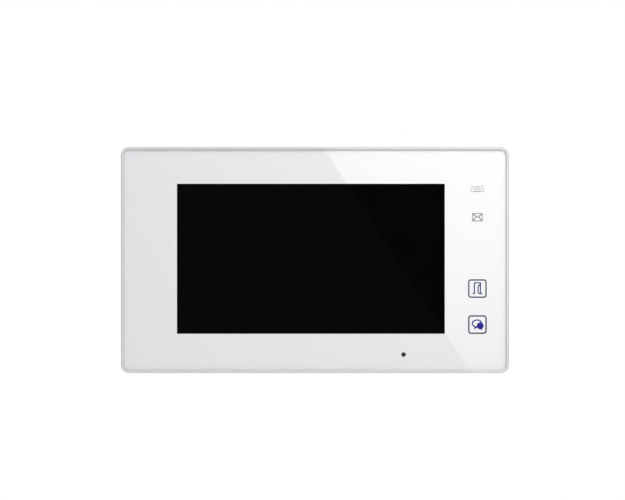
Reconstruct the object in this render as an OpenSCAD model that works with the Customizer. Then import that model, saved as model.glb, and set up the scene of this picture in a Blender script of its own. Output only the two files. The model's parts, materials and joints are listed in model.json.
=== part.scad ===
// Wall-hung hands-free video intercom monitor, millimetres.
// +Z is up, the screen faces -Y, and the wall is the plane y = 0.
// The origin is midway between the two flush-box screw slots of the wall bracket.

/* [Body] */
// Width across the rim
body_w = 225; // [219:1:290]
// Height across the rim
body_h = 131; // [129:1:170]
// Corner radius of the rim
corner_r = 4.6; // [3.5:0.1:7]
// Width of the rim that shows from the front
rim_w = 1.45; // [1.2:0.05:2.2]
// Chamfer on both front edges of the rim
rim_chamfer = 0.5; // [0.3:0.05:0.6]
// How far the rear cover is set in from the frame
cover_inset = 1.2; // [0.6:0.1:2]
// Wall thickness of the rear cover
cover_wall = 2; // [1.6:0.1:2.2]
// Slant of the rear cover towards the wall
cover_slant = 2.2; // [1:0.1:3]
// Room behind the main board, up to the wall
rear_room = 10; // [10:0.5:14]

/* [Front] */
// Thickness of the cover glass
glass_t = 1.8; // [1:0.1:3]
// Depth of the glass below the rim
glass_recess = 0.2; // [0.1:0.05:0.4]
// Thickness of the print film and its icons
film_t = 0.15; // [0.1:0.05:0.3]
// Thickness of the tape that holds the glass
tape_t = 0.25; // [0.15:0.05:0.4]
// Width of the tape
tape_w = 4; // [3:0.1:4.4]
// Thickness of the deck behind the glass
deck_t = 1.6; // [1.2:0.1:2.4]
// Width of the screen window in the print
window_w = 155.5; // [125:0.1:156]
// Height of the screen window in the print
window_h = 87.1; // [70:0.1:88]

/* [Display] */
// Width of the display module
display_w = 165; // [164:1:168]
// Height of the display module
display_h = 100; // [96:1:101]
// Thickness of the display module
display_t = 5.7; // [5.2:0.1:7]
// Centre of the screen, to the right of the body's centre
display_x = -2.4; // [-4:0.1:-2]
// Centre of the screen, above the body's centre
display_z = 0.7; // [0:0.1:2]
// Compressed thickness of the foam gasket
gasket_t = 0.5; // [0.3:0.1:1]
// Sheet thickness of the chassis plate
chassis_t = 0.8; // [0.6:0.1:1.2]

/* [Main board] */
// Width of the main board
board_w = 126; // [120:1:128]
// Height of the main board
board_h = 88; // [84:1:90]
// Thickness of both circuit boards' laminate
board_t = 1.6; // [1:0.1:2]
// Height of the spacers under the board
spacer_h = 1.2; // [1:0.1:2]

/* [Keys] */
// Distance from the right edge to the middle of the icons
key_inset = 18.2; // [17.5:0.1:20]
// Side of the square outline round the door and talk icons
key_size = 10.8; // [9:0.1:12]
// Line width of the square outline
key_line = 0.8; // [0.5:0.1:1.2]
// Height of the alarm icon
alarm_z = 41.3; // [38:0.1:44]
// Height of the message icon
message_z = 24.8; // [20:0.1:27]
// Height of the door key
door_z = -16.6; // [-18:0.1:-10]
// Height of the talk key
talk_z = -37.5; // [-40:0.1:-34]

/* [Microphone] */
// Distance from the body's centre to the microphone
mic_x = 51.4; // [45:0.1:56]
// Height of the microphone above the body's bottom edge
mic_up = 10.6; // [9.8:0.1:10.8]
// Diameter of the hole in the glass
mic_hole_d = 2.6; // [1.5:0.1:3.5]
// Diameter of the microphone capsule
mic_d = 5; // [4:0.1:6]

/* [Loudspeaker] */
// Outer radius of the speaker's flange
speaker_r = 18; // [15:0.5:18.4]
// Height of the speaker's centre
speaker_z = -8; // [-14:1:14]
// Diameter of one grille hole
grille_d = 1.8; // [1.2:0.1:2.4]

/* [Terminals] */
// Number of terminal poles
poles = 4; // [2:1:4]
// Distance from pole to pole
pole_pitch = 3.81; // [3.81:0.01:5.08]
// Travel of a clamp cage
clamp_travel = 1.2; // [0.8:0.1:1.4]
// Travel of the terminal plug out of its header
plug_travel = 7.5; // [6.5:0.1:8]

/* [Switches] */
// Number of slide switches
ways = 4; // [2:1:5]
// Distance from slider to slider
way_pitch = 2.54; // [2.54:0.01:3]
// Travel of a slider
slider_travel = 1.8; // [1:0.1:2]

/* [Wall bracket] */
// Width of the bracket
bracket_w = 120; // [112:1:122]
// Height of the bracket
bracket_h = 96; // [94:1:98]
// Sheet thickness of the bracket
bracket_t = 1.2; // [0.8:0.1:1.3]
// Lift needed to free the monitor from the hooks
hook_lift = 5; // [3:0.5:6]
// Distance between the two flush-box slots
box_pitch = 60; // [56:1:64]
// Distance between the upper and lower wall slots
tall_pitch = 83.5; // [80:0.5:84]
// Width of the screw slots
slot_w = 4.4; // [3.5:0.1:5]
// Length of the screw slots
slot_l = 9; // [6:0.5:10]

/* [Hidden] */
$fn = 48;
fit = 0.2; // gap round a piece that sits in a pocket

// The stack from the glass to the wall. Every plane is a place on the Y axis.
pad_gap = 0.05;
body_d = glass_recess + glass_t + film_t + gasket_t + display_t + pad_gap
    + chassis_t + spacer_h + board_t + rear_room;
front_y = -body_d;
glass_front = front_y + glass_recess;
glass_back = glass_front + glass_t;
film_back = glass_back + film_t;
deck_front = film_back + tape_t;
deck_back = deck_front + deck_t;
display_front = film_back + gasket_t;
display_back = display_front + display_t;
chassis_front = display_back + pad_gap;
chassis_back = chassis_front + chassis_t;
board_front = chassis_back + spacer_h;
board_back = board_front + board_t;
split_y = board_front + 0.6;
cover_back = -0.6;
cover_inner = cover_back - cover_wall;

// Frame and cover outlines
inner_w = body_w - 2 * rim_w;
inner_h = body_h - 2 * rim_w;
inner_r = corner_r - rim_w;
glass_w = inner_w - 2 * 0.15;
glass_h = inner_h - 2 * 0.15;
cover_w = body_w - 2 * cover_inset;
cover_h = body_h - 2 * cover_inset;
cover_r = 6;
slant_d = 4;
split_gap = 0.3;
case_inset = 9;
case_boss_d = 8;

// Display pocket, key board and board places
rib_t = 1.2;
screw_out = 6.6; // chassis screws stand this far outside the display
chassis_points = [for (x = [display_x - 68, display_x, display_x + 74], s = [-1, 1])
    [x, display_z + s * (display_h / 2 + screw_out)]];
board_x = display_x + 11.4;
board_z = display_z + 1.3;
board_points = [for (sx = [-1, 1], sz = [-1, 1])
    [board_x + sx * (board_w / 2 - 4), board_z + sz * (board_h / 2 - 4)]];
key_x = body_w / 2 - key_inset;
key_board_w = 19;
key_board_h = 98;
key_board_z = 2;
key_board_t = 1;
box_t = 1;
box_front = film_back;
box_back = box_front + box_t;
key_back = box_back + key_board_t;
key_wall = 1.3; // the light box's rim and the step that carries the key board

// Microphone
mic_z = -body_h / 2 + mic_up;
boot_d = mic_d + 2.6;
boot_back = film_back + 4.4;

// Rear cover: bracket recess, connection bay and seats
recess_gap = 0.6;
recess_y = -bracket_t - recess_gap;
recess_t = 1.8;
recess_inner = recess_y - recess_t;
recess_low = -bracket_h / 2 - hook_lift - recess_gap;
recess_top = bracket_h / 2 + recess_gap;
recess_w = bracket_w + 2 * recess_gap;
plug_x = -8;
bay_left = -22;
bay_right = 22;
bay_low = -30;
bay_top = 11;
bay_y = board_back + 1.8;
bay_t = 1.2;
speaker_x = -(recess_w / 2 + recess_t + 21.6);
seat_y = cover_inner - 1.4;
gasket_y = seat_y - 0.6;
flange_y = gasket_y - 0.8;
basket_y = flange_y - 3.2;
magnet_y = basket_y - 0.6;
ear_r = speaker_r + 2.6;
ear_angles = [90, 210, 330];
pad_d = 10;
pad_inset = [20.5, 15.5];
label_x = cover_w / 2 - 25;
label_w = 36;
label_h = 24;
label_z = 4;
label_t = 0.2;

// Hooks of the bracket: a neck that carries, and a finger that holds
neck_h = 4;
finger_h = 4;
hook_points = [[-46, 28], [46, 28], [-46, -20], [46, -20]];
finger_t = 1.3;
hook_play = 0.3;
hook_back = recess_inner - hook_play;

// Terminal plug, seen along its length: wires enter at the low end
plug_back = recess_y - 0.1;
plug_front = board_back + 0.3;
plug_w = poles * pole_pitch + 0.6;
header_w = plug_w + 1;
header_low = -6.3;
header_top = 2.5;
nose_low = -6.6;
nose_top = -1.2;
plug_low = -18;
pin_y = board_back + 3.8;
bar_y = board_back + 4.1;
bar_t = 0.5;
bar_w = 1.8;
cage_w = 2.9;
cage_z = [-14.1, -11.1];
cage_side = 0.4;
cage_low = board_back + 1.1;
wire_gap = 2.4;
cage_top_t = 0.9;
cage_bottom_t = bar_y - cage_low - wire_gap;
cage_high = bar_y + bar_t + 0.1 + cage_top_t;
screw_z = (cage_z[0] + cage_z[1]) / 2;
head_y = cage_high + clamp_travel + 0.15;
clamp_head_t = plug_back - head_y - 0.25;

// Switch block
switch_x = 9.5;
switch_z = -10;
switch_w = ways * way_pitch + 1.4;
switch_h = 6.6;
switch_back = board_back + 4.6;
knob = 1.2;
base = [1.8, 2.2];
base_t = 0.7;

function pole_x(i) = plug_x + (i - (poles + 1) / 2) * pole_pitch;
function way_x(i) = switch_x + switch_w / 2 + (i - (ways + 1) / 2) * way_pitch;

// A plate between two planes of Y, from an outline drawn in X and Z
module slab(y0, y1)
    translate([0, y1, 0]) rotate([90, 0, 0]) linear_extrude(y1 - y0) children();

module at(p) translate([p[0], 0, p[1]]) children();

// A round post or hole along Y
module post(y0, y1, d)
    translate([0, y1, 0]) rotate([90, 0, 0]) cylinder(d = d, h = y1 - y0);

module block(x, y, z)
    translate([x[0], y[0], z[0]]) cube([x[1] - x[0], y[1] - y[0], z[1] - z[0]]);

module rrect(w, h, r) {
    square([w - 2 * r, h], center = true);
    square([w, h - 2 * r], center = true);
    for (sx = [-1, 1], sz = [-1, 1])
        translate([sx * (w / 2 - r), sz * (h / 2 - r)]) circle(r);
}

module ring(w, h, r, t) difference() {
    rrect(w, h, r);
    rrect(w - 2 * t, h - 2 * t, max(r - t, 0.3));
}

module slot2d(w, l, along_x) {
    square(along_x ? [l - w, w] : [w, l - w], center = true);
    for (s = [-1, 1])
        translate(along_x ? [s * (l - w) / 2, 0] : [0, s * (l - w) / 2]) circle(d = w);
}

// Sweeps a profile round a rounded rectangle. The profile's first axis points outwards
// from the edge and its second one is Y.
module edge_ring(w, h, r) {
    for (s = [0, 180]) rotate([0, s, 0]) {
        translate([w / 2, 0, -(h / 2 - r)]) linear_extrude(h - 2 * r) children();
        rotate([0, -90, 0])
            translate([h / 2, 0, -(w / 2 - r)]) linear_extrude(w - 2 * r) children();
    }
    for (s = [0, 180], m = [0, 1]) rotate([0, s, 0]) mirror([m, 0, 0])
        translate([w / 2 - r, 0, h / 2 - r]) rotate([-90, 0, 0]) rotate([0, 0, -90])
            rotate_extrude(angle = 90) translate([r, 0]) children();
}

// A plate whose back edge slants inwards by slant over the last depth of it
module slanted_slab(w, h, r, y0, y1, slant, depth) {
    slab(y0, y1) rrect(w - 2 * slant, h - 2 * slant, r - slant);
    edge_ring(w, h, r) polygon([
        [-slant - 0.5, y0], [0, y0], [0, y1 - depth], [-slant, y1], [-slant - 0.5, y1]]);
}

module case_corners()
    for (sx = [-1, 1], sz = [-1, 1])
        at([sx * (body_w / 2 - case_inset), sz * (body_h / 2 - case_inset)]) children();

// Pan head with a cross recess, its seat at y = 0 and its shank towards -Y
module screw(head_d, head_t, shank_d, shank_l) {
    difference() {
        union() {
            post(0, head_t * 0.6, head_d);
            translate([0, head_t, 0]) rotate([90, 0, 0])
                cylinder(d1 = head_d * 0.7, d2 = head_d, h = head_t * 0.4);
        }
        for (a = [0, 90]) rotate([0, a, 0])
            block([-head_d * 0.3, head_d * 0.3], [head_t * 0.4, head_t + 1],
                [-head_d * 0.07, head_d * 0.07]);
    }
    post(-shank_l, 0.1, shank_d);
}

function bezier(p, t) = pow(1 - t, 3) * p[0] + 3 * t * pow(1 - t, 2) * p[1]
    + 3 * t * t * (1 - t) * p[2] + pow(t, 3) * p[3];

function bezier_way(p, t) = pow(1 - t, 2) * (p[1] - p[0]) + 2 * t * (1 - t) * (p[2] - p[1])
    + t * t * (p[3] - p[2]);

// A round wire along the curve of four points. ref is any direction that the wire never takes.
module wire(p, d, ref) {
    rings = 16;
    sides = 10;
    ring_points = [for (i = [0 : rings - 1]) let (
            t = i / (rings - 1),
            way = bezier_way(p, t) / norm(bezier_way(p, t)),
            side = cross(way, ref) / norm(cross(way, ref)),
            up = cross(way, side))
        for (j = [0 : sides - 1])
            bezier(p, t) + d / 2 * (cos(360 * j / sides) * side + sin(360 * j / sides) * up)];
    walls = [for (i = [0 : rings - 2], j = [0 : sides - 1]) let (k = (j + 1) % sides)
        [i * sides + j, (i + 1) * sides + j, (i + 1) * sides + k, i * sides + k]];
    caps = [[for (j = [0 : sides - 1]) j],
        [for (j = [sides - 1 : -1 : 0]) (rings - 1) * sides + j]];
    polyhedron(ring_points, concat(walls, caps));
}

// ---- Icons, drawn round their own centres ----

module alarm_outline() {
    line = 0.55;
    difference() {
        circle(1.75);
        circle(1.75 - line);
        translate([-2, -3.3]) square([4, 2.7]);
    }
    translate([-2.3, -1.8]) square([4.6, 0.75]);
    for (s = [-1, 1]) {
        translate([s * 3.3, 0]) square([1.5, line], center = true);
        translate([s * 2.9, 1.5]) rotate(s * 35) square([1.4, line], center = true);
        translate([s * 3.3, -1.45]) square([1.0, line], center = true);
    }
    circle(0.5);
}

module message_outline() {
    w = 6.3;
    h = 4.8;
    line = 0.5;
    difference() {
        rrect(w, h, 0.5);
        rrect(w - 2 * line, h - 2 * line, 0.2);
    }
    for (s = [-1, 1]) scale([s, 1]) {
        polygon([[-w / 2 + 0.9 * line, h / 2 - 0.9 * line], [-w / 2 + 2.1 * line, h / 2 - 0.9 * line],
            [0.01, 0.25], [0.01, -0.5], [-w / 2 + 0.9 * line, h / 2 - 2 * line]]);
        polygon([[-w / 2 + 0.9 * line, -h / 2 + 0.9 * line], [-w / 2 + 2.2 * line, -h / 2 + 0.9 * line],
            [-0.75, -0.1], [-1.15, 0.3], [-w / 2 + 0.9 * line, -h / 2 + 2 * line]]);
    }
}

module key_square() ring(key_size, key_size, 1.7, key_line);

// Door frame with its feet turned outwards, and a leaf that stands open
module door_outline() {
    key_square();
    line = 0.7;
    top = 3.7;
    foot = -3.2;
    half = 1.75;
    translate([-half - line / 2, top - line]) square([2 * half + line, line]);
    for (s = [-1, 1]) {
        translate([s * half - line / 2, foot]) square([line, top - foot]);
        translate([s * (half + 0.45), foot + line / 2]) square([1.2, line], center = true);
    }
    difference() {
        polygon([[half, top - line], [0.05, 1.5], [0.05, -2.6], [half, foot - 0.3]]);
        polygon([[half - 0.3, top - line - 1.3], [0.05 + line, 1.2], [0.05 + line, -2.35],
            [half - 0.3, foot + 0.5]]);
    }
}

// Two speech bubbles: an open one, and a filled one over its lower right
function bubble(a, b, n) = [for (i = [0 : n - 1]) [a * cos(360 * i / n), b * sin(360 * i / n)]];

module talk_outline() {
    key_square();
    line = 0.75;
    translate([-0.25, 0.6]) {
        difference() {
            polygon(bubble(3.1, 2.4, 40));
            polygon(bubble(3.1 - line, 2.4 - line, 40));
        }
        polygon([[-1.4, -1.9], [-1.75, -3.45], [0.6, -2.1]]);
    }
    translate([1.6, -0.7]) {
        circle(2);
        polygon([[0.9, -1.2], [1.15, -2.5], [-1, -1.7]]);
    }
}

module indicator_outlines() {
    translate([key_x, alarm_z]) alarm_outline();
    translate([key_x, message_z]) message_outline();
}

module key_outlines() {
    translate([key_x, door_z]) door_outline();
    translate([key_x, talk_z]) talk_outline();
}

// ---- Front ----

module cover_glass() color("lightcyan", 0.4) slab(glass_front, glass_back) difference() {
    rrect(glass_w, glass_h, inner_r - 0.15);
    translate([mic_x, mic_z]) circle(d = mic_hole_d);
}

module print_film() color("white") slab(glass_back, film_back) difference() {
    rrect(glass_w, glass_h, inner_r - 0.15);
    translate([display_x, display_z]) square([window_w, window_h], center = true);
    translate([mic_x, mic_z]) circle(d = mic_hole_d);
    indicator_outlines();
    key_outlines();
}

module indicator_icons() color("darkgrey") slab(glass_back, film_back) indicator_outlines();

module key_icons() color("darkslateblue") slab(glass_back, film_back) key_outlines();

module glass_tape() color("dimgrey") slab(film_back, deck_front)
    ring(glass_w - 0.4, glass_h - 0.4, inner_r, tape_w);

module front_frame() color("silver") difference() {
    union() {
        edge_ring(body_w, body_h, corner_r) polygon([
            [0, split_y], [0, front_y + rim_chamfer], [-rim_chamfer, front_y],
            [-rim_w + rim_chamfer, front_y], [-rim_w, front_y + rim_chamfer],
            [-rim_w, split_y]]);
        slab(deck_front, deck_back) rrect(inner_w + 0.6, inner_h + 0.6, inner_r + 0.3);
        for (p = chassis_points) at(p) post(deck_back - 0.2, chassis_front, 6);
        case_corners() post(deck_back - 0.2, split_y + 0.4, case_boss_d);
        slab(deck_back - 0.2, display_back - 0.5) translate([display_x, display_z])
            ring(display_w + 2 * (fit + rib_t), display_h + 2 * (fit + rib_t), 1.5, rib_t);
        at([mic_x, mic_z]) post(deck_back - 0.2, boot_back - 0.4, boot_d + 2.2);
    }
    slab(deck_front - 1, deck_back + 0.01) translate([display_x, display_z])
        square([display_w + 2 * fit, display_h + 2 * fit], center = true);
    slab(display_front - 1, display_back + 1) translate([display_x, display_z])
        square([display_w + 2 * fit, display_h + 2 * fit], center = true);
    slab(deck_front - 1, deck_back + 1) translate([key_x, key_board_z])
        square([key_board_w - 2 * key_wall, key_board_h - 2 * key_wall], center = true);
    slab(box_back, deck_back + 1) translate([key_x, key_board_z])
        square([key_board_w + 2 * fit, key_board_h + 2 * fit], center = true);
    at([mic_x, mic_z]) post(deck_front - 1, boot_back + 1, boot_d + fit);
    for (p = chassis_points) at(p) post(deck_back + 0.6, chassis_front + 1, 2.3);
    case_corners() post(deck_back + 0.6, split_y + 1, 2.7);
}

// ---- Display ----

gasket_in = 0.3; // how far the gasket's inner and outer edges stand outside the window
gasket_out = 3.5;

module display_gasket() color("black") slab(film_back, display_front)
    translate([display_x, display_z]) difference() {
        square([window_w + 2 * gasket_out, window_h + 2 * gasket_out], center = true);
        square([window_w + 2 * gasket_in, window_h + 2 * gasket_in], center = true);
    }

bezel_t = 0.3;
cell_front = display_front + bezel_t + 0.02;
cell_back = cell_front + 1.3;
films_back = cell_back + 0.55;
guide_back = films_back + 2.1;
tray_front = display_front + 0.36 * display_t;
tray_floor = display_back - 0.8;
tray_wall = 1.2;

module at_display() translate([display_x, 0, display_z]) children();

module display_bezel() color("lightgrey") at_display() {
    slab(display_front, display_front + bezel_t) difference() {
        square([display_w, display_h], center = true);
        square([window_w + 1.9, window_h + 2.1], center = true);
    }
    slab(display_front, display_back - 0.9)
        ring(display_w, display_h, 0.6, bezel_t);
}

module lcd_cell() color("black") at_display() slab(cell_front, cell_back)
    square([display_w - 2 * bezel_t - 1, display_h - 2 * bezel_t - 1], center = true);

module diffuser_films() color("whitesmoke") at_display() slab(cell_back, films_back)
    square([display_w - 2 * tray_wall - 1.6, display_h - 2 * tray_wall - 1.6], center = true);

module light_guide() color("aliceblue") at_display() slab(films_back, guide_back)
    translate([0, 1.5])
        square([display_w - 2 * tray_wall - 2, display_h - 2 * tray_wall - 5], center = true);

// A strip along the lower edge of the light guide, with its row of light sources
module backlight_strip() color("gold") at_display() {
    low = -display_h / 2 + bezel_t + tray_wall + 0.3;
    block([-75, 75], [films_back + 0.1, tray_floor - 0.1], [low, low + 0.8]);
    for (i = [0 : 11]) translate([-68.75 + i * 12.5, 0, 0])
        block([-1.5, 1.5], [films_back + 0.4, guide_back], [low + 0.7, low + 1.9]);
}

module display_tray() color("white") at_display() {
    w = display_w - 2 * bezel_t - 0.2;
    h = display_h - 2 * bezel_t - 0.2;
    slab(tray_floor, display_back) square([w, h], center = true);
    slab(tray_front, tray_floor + 0.1) difference() {
        square([w, h], center = true);
        square([w - 2 * tray_wall, h - 2 * tray_wall], center = true);
    }
}

// Flat ribbon from the back of the display, round the lower edge of the main board
ribbon_x = [14, 44];
ribbon_t = 0.2;
zif_low = board_z - board_h / 2 + 2;
ribbon_low = board_z - board_h / 2 - 4;
zif_y = board_back + 1;

module display_ribbon() color("peru") {
    y0 = display_back + 0.02;
    block(ribbon_x, [y0, y0 + ribbon_t], [ribbon_low, ribbon_low + 16]);
    block(ribbon_x, [y0, zif_y + ribbon_t], [ribbon_low, ribbon_low + ribbon_t]);
    block(ribbon_x, [zif_y, zif_y + ribbon_t], [ribbon_low, zif_low - 0.02]);
}

// ---- Chassis and boards ----

module chassis_plate() color("lightsteelblue") slab(chassis_front, chassis_back) difference() {
    union() {
        translate([display_x, display_z]) square([display_w + 1.6, display_h + 2], center = true);
        for (p = chassis_points) {
            translate(p) circle(4.4);
            translate([p[0], display_z + (p[1] - display_z) / 2])
                square([8.8, abs(p[1] - display_z)], center = true);
        }
    }
    for (p = chassis_points) translate(p) circle(d = 2.9);
    for (p = board_points) translate(p) circle(d = 2.6);
    translate([(ribbon_x[0] + ribbon_x[1]) / 2, ribbon_low + 7])
        square([ribbon_x[1] - ribbon_x[0] + 3, 22], center = true);
    for (x = [-62, -26, 62]) translate([display_x + x, display_z + 30])
        rrect(22, 20, 3);
    translate([display_x - 62, display_z - 22]) rrect(22, 34, 3);
}

module chassis_screws() color("silver")
    for (p = chassis_points) at(p) translate([0, chassis_back, 0])
        screw(5, 1.6, 2.2, chassis_back - deck_back - 1);

module main_board() color("darkgreen") slab(board_front, board_back) difference() {
    translate([board_x, board_z]) rrect(board_w, board_h, 2);
    for (p = board_points) translate(p) circle(d = 3.2);
    for (i = [1 : poles]) translate([pole_x(i), header_top + 1.2]) circle(d = 1.5);
}

module board_spacers() color("silver") slab(chassis_back, board_front)
    for (p = board_points) translate(p) difference() {
        circle(d = 6);
        circle(d = 3);
    }

module board_screws() color("silver")
    for (p = board_points) at(p) translate([0, board_back, 0])
        screw(5, 1.6, 2.5, board_t + spacer_h + chassis_t);

// A moulded chip body, its leads drawn in along two or four sides
module chip(p, size, t, pins, four_sides = false) at(p) {
    block([-size[0] / 2, size[0] / 2], [board_back + 0.1, board_back + t],
        [-size[1] / 2, size[1] / 2]);
    for (a = four_sides ? [0, 90, 180, 270] : [0, 180]) rotate([0, a, 0]) {
        long = a % 180 == 0 ? size[0] : size[1];
        out = a % 180 == 0 ? size[1] : size[0];
        step = long / (pins + 1);
        for (i = [1 : pins]) translate([-long / 2 + i * step, 0, out / 2])
            block([-step / 4, step / 4], [board_back, board_back + 0.3], [-0.2, 0.8]);
    }
}

module processor() color("dimgrey") chip([47, 22], [14, 14], 1.5, 12, true);

module board_chips() color("dimgrey") {
    chip([31, 27], [8, 12], 1.1, 6);
    chip([62, 33], [5, 6], 1.2, 4);
    chip([48, -2], [9, 9], 1.2, 8, true);
    chip([-34, -18], [5, 6], 1.2, 4);
    chip([-38, 28], [5, 6], 1.3, 4);
}

module inductor(p, d, h) at(p) {
    post(board_back, board_back + 0.9, d);
    post(board_back + 0.8, board_back + h - 0.8, d * 0.72);
    post(board_back + h - 0.9, board_back + h, d);
}

module bus_inductors() color("saddlebrown") {
    inductor([-30, 8], 9, 4.6);
    inductor([-41, 6], 9, 4.6);
    inductor([-34, 17.5], 6, 3.6);
}

module capacitor(p, d, h) at(p) {
    block([-d / 2 - 0.2, d / 2 + 0.2], [board_back, board_back + 1], [-d / 2 - 0.2, d / 2 + 0.2]);
    post(board_back + 0.9, board_back + h, d);
}

module capacitors() color("silver") {
    capacitor([bay_left - 6.5, -10], 6.3, 5);
    capacitor([-35, -30], 6.3, 5);
    capacitor([32, 10], 5, 4.6);
    capacitor([62, 8], 6.3, 5);
    capacitor([-24, 32], 5, 4.6);
}

module shield_can() color("gainsboro") difference() {
    translate([2, 0, 30]) slab(board_back, board_back + 3) rrect(30, 18, 1);
    translate([2, 0, 30]) slab(board_back - 1, board_back + 2.7) rrect(29.4, 17.4, 0.7);
    for (i = [0 : 5], j = [0 : 2]) at([-8 + i * 4, 26 + j * 4])
        post(board_back + 2, board_back + 4, 1.3);
}

mic_plug = [58, board_z - board_h / 2 + 3];
speaker_plug = [board_x - board_w / 2 + 4, -15];
key_plug = [board_x + board_w / 2 - 3.5, -12];
wire_d = 1;
wire_pitch = 1.5;

// Connectors on the back of the board. Ribbons and wires end just inside their mouths.
module board_connectors() color("ivory") {
    difference() {
        block([ribbon_x[0] - 3, ribbon_x[1] + 3], [board_back, board_back + 2.2],
            [zif_low - 1, zif_low + 4]);
        block([ribbon_x[0] - 0.5, ribbon_x[1] + 0.5], [zif_y - 0.15, zif_y + ribbon_t + 0.15],
            [zif_low - 2, zif_low + 2]);
    }
    difference() {
        at(key_plug) block([-2.5, 2.5], [board_back, board_back + 2.2], [-10, 10]);
        at(key_plug) block([0, 3], [zif_y - 0.15, zif_y + ribbon_t + 0.15], [-7.5, 7.5]);
    }
    difference() {
        at(mic_plug) block([-3, 3], [board_back, board_back + 4], [-1, 4]);
        for (s = [-1, 1])
            translate([mic_plug[0] + s * wire_pitch / 2, board_back + 2, mic_plug[1] - 2])
                cylinder(d = wire_d + 0.3, h = 4);
    }
    difference() {
        at(speaker_plug) block([-4, 1], [board_back, board_back + 4], [-3, 3]);
        for (s = [-1, 1])
            translate([speaker_plug[0] - 5, board_back + 2, speaker_plug[1] + s * wire_pitch / 2])
                rotate([0, 90, 0]) cylinder(d = wire_d + 0.3, h = 4);
    }
}

// ---- Key column ----

module key_board() color("white") slab(box_back, key_back) translate([key_x, key_board_z])
    rrect(key_board_w, key_board_h, 1);

module key_light_box() color("whitesmoke") slab(box_front, box_back) difference() {
    translate([key_x, key_board_z])
        square([key_board_w - 2 * key_wall - 2 * fit, key_board_h - 2 * key_wall - 2 * fit],
            center = true);
    for (z = [alarm_z, message_z, door_z, talk_z]) translate([key_x, z])
        rrect(12.6, 12.6, 1.5);
}

module key_leds() color("lightyellow")
    for (z = [alarm_z, message_z, door_z, talk_z], s = [-1, 1])
        translate([key_x + s * 4.4, 0, z]) {
            block([-0.8, 0.8], [box_back - 0.6, box_back], [-0.4, 0.4]);
        }

// Flat ribbon from the key board, past the chassis plate, to the main board
module key_ribbon() color("ghostwhite") {
    z = [key_plug[1] - 7, key_plug[1] + 7];
    x0 = display_x + display_w / 2 + 3.4;
    x1 = key_x - key_board_w / 2 + 6;
    y0 = key_back + 0.02;
    block([x0, x1], [y0, y0 + ribbon_t], z);
    block([x0, x0 + ribbon_t], [y0, zif_y + ribbon_t], z);
    block([key_plug[0] + 0.4, x0 + ribbon_t], [zif_y, zif_y + ribbon_t], z);
}

// ---- Microphone ----

module microphone() color("silver") at([mic_x, mic_z]) difference() {
    post(film_back + 1.5, film_back + 3.7, mic_d);
    post(film_back + 1, film_back + 1.9, 1.4);
}

module microphone_boot() color("black") at([mic_x, mic_z]) difference() {
    post(film_back, boot_back, boot_d);
    post(film_back + 1.45, film_back + 3.75, mic_d + 0.04);
    post(film_back - 1, film_back + 2, 1.4);
    for (s = [-1, 1]) translate([s * wire_pitch / 2, 0, 0])
        post(film_back + 3, boot_back + 1, wire_d + 0.2);
}

module microphone_wires() color("firebrick")
    for (s = [-1, 1]) {
        x0 = mic_x + s * wire_pitch / 2;
        x1 = mic_plug[0] + s * wire_pitch / 2;
        y1 = board_back + 2;
        wire([[x0, film_back + 3.85, mic_z], [x0, y1 + 2, mic_z - 1],
            [x1, y1, mic_plug[1] - 9], [x1, y1, mic_plug[1] + 1]], wire_d, [1, 0, 0]);
    }

// ---- Loudspeaker, which faces the wall through the rear cover ----

module at_speaker() translate([speaker_x, 0, speaker_z]) children();

// Turns a profile of radius and Y about the speaker's axis
module turned() rotate([-90, 0, 0]) rotate_extrude() children();

surround_in = speaker_r - 3.5;
surround_out = speaker_r - 2.6;
coil_r = 5.2;
gap_r = [4.6, 5.8];

module speaker_frame() color("darkgrey") at_speaker() {
    difference() {
        union() {
            turned() polygon([
                [surround_out, gasket_y], [speaker_r, gasket_y], [speaker_r, flange_y],
                [speaker_r - 1.4, flange_y], [9, basket_y], [9, magnet_y], [gap_r[1], magnet_y],
                [gap_r[1], basket_y], [8.2, basket_y], [surround_out, flange_y]]);
            for (a = ear_angles) slab(flange_y, gasket_y) difference() {
                union() {
                    translate([ear_r * cos(a), ear_r * sin(a)]) circle(3);
                    rotate(a) translate([(speaker_r + ear_r) / 2 - 0.6, 0])
                        square([ear_r - speaker_r + 0.8, 6], center = true);
                }
                circle(r = speaker_r - 1);
            }
        }
        for (a = ear_angles) at([ear_r * cos(a), ear_r * sin(a)])
            post(flange_y - 1, gasket_y + 1, 2.4);
        // openings through the basket, between its spokes
        for (a = [30 : 60 : 330]) rotate([0, -a, 0])
            block([9.6, 13.4], [basket_y - 1, gasket_y], [-2.6, 2.6]);
    }
    // solder tabs
    for (s = [-1, 1]) translate([speaker_r - 2.6, 0, s * 2])
        block([-0.4, 1.9], [flange_y - 0.3, flange_y + 0.05], [-0.7, 0.7]);
}

module speaker_surround() color("black") at_speaker() turned()
    polygon([[surround_in, gasket_y - 0.7], [surround_in + 0.3, gasket_y - 0.3],
        [surround_out - 0.01, gasket_y - 0.3], [surround_out - 0.01, gasket_y - 0.75],
        [surround_in + 0.4, gasket_y - 0.75]]);

module speaker_cone() color("darkslategrey") at_speaker() {
    rim_y = gasket_y - 0.5;
    neck_y = rim_y - 2.8;
    turned() polygon([
        [surround_in - 0.25, rim_y], [coil_r + 0.3, neck_y], [coil_r + 0.3, magnet_y - 1],
        [coil_r - 0.1, magnet_y - 1], [coil_r - 0.1, neck_y - 0.5], [0, neck_y - 0.5],
        [0, neck_y + 1.1], [1.6, neck_y + 0.98], [3.2, neck_y + 0.6], [coil_r - 0.4, neck_y + 0.1],
        [surround_in - 0.25, rim_y + 0.4]]);
}

module speaker_magnet() color("slategrey") at_speaker() turned() polygon([
    [0, magnet_y - 2.4], [8, magnet_y - 2.4], [8, magnet_y], [gap_r[1], magnet_y],
    [gap_r[1], magnet_y - 1.8], [gap_r[0], magnet_y - 1.8], [gap_r[0], magnet_y],
    [0, magnet_y]]);

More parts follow.
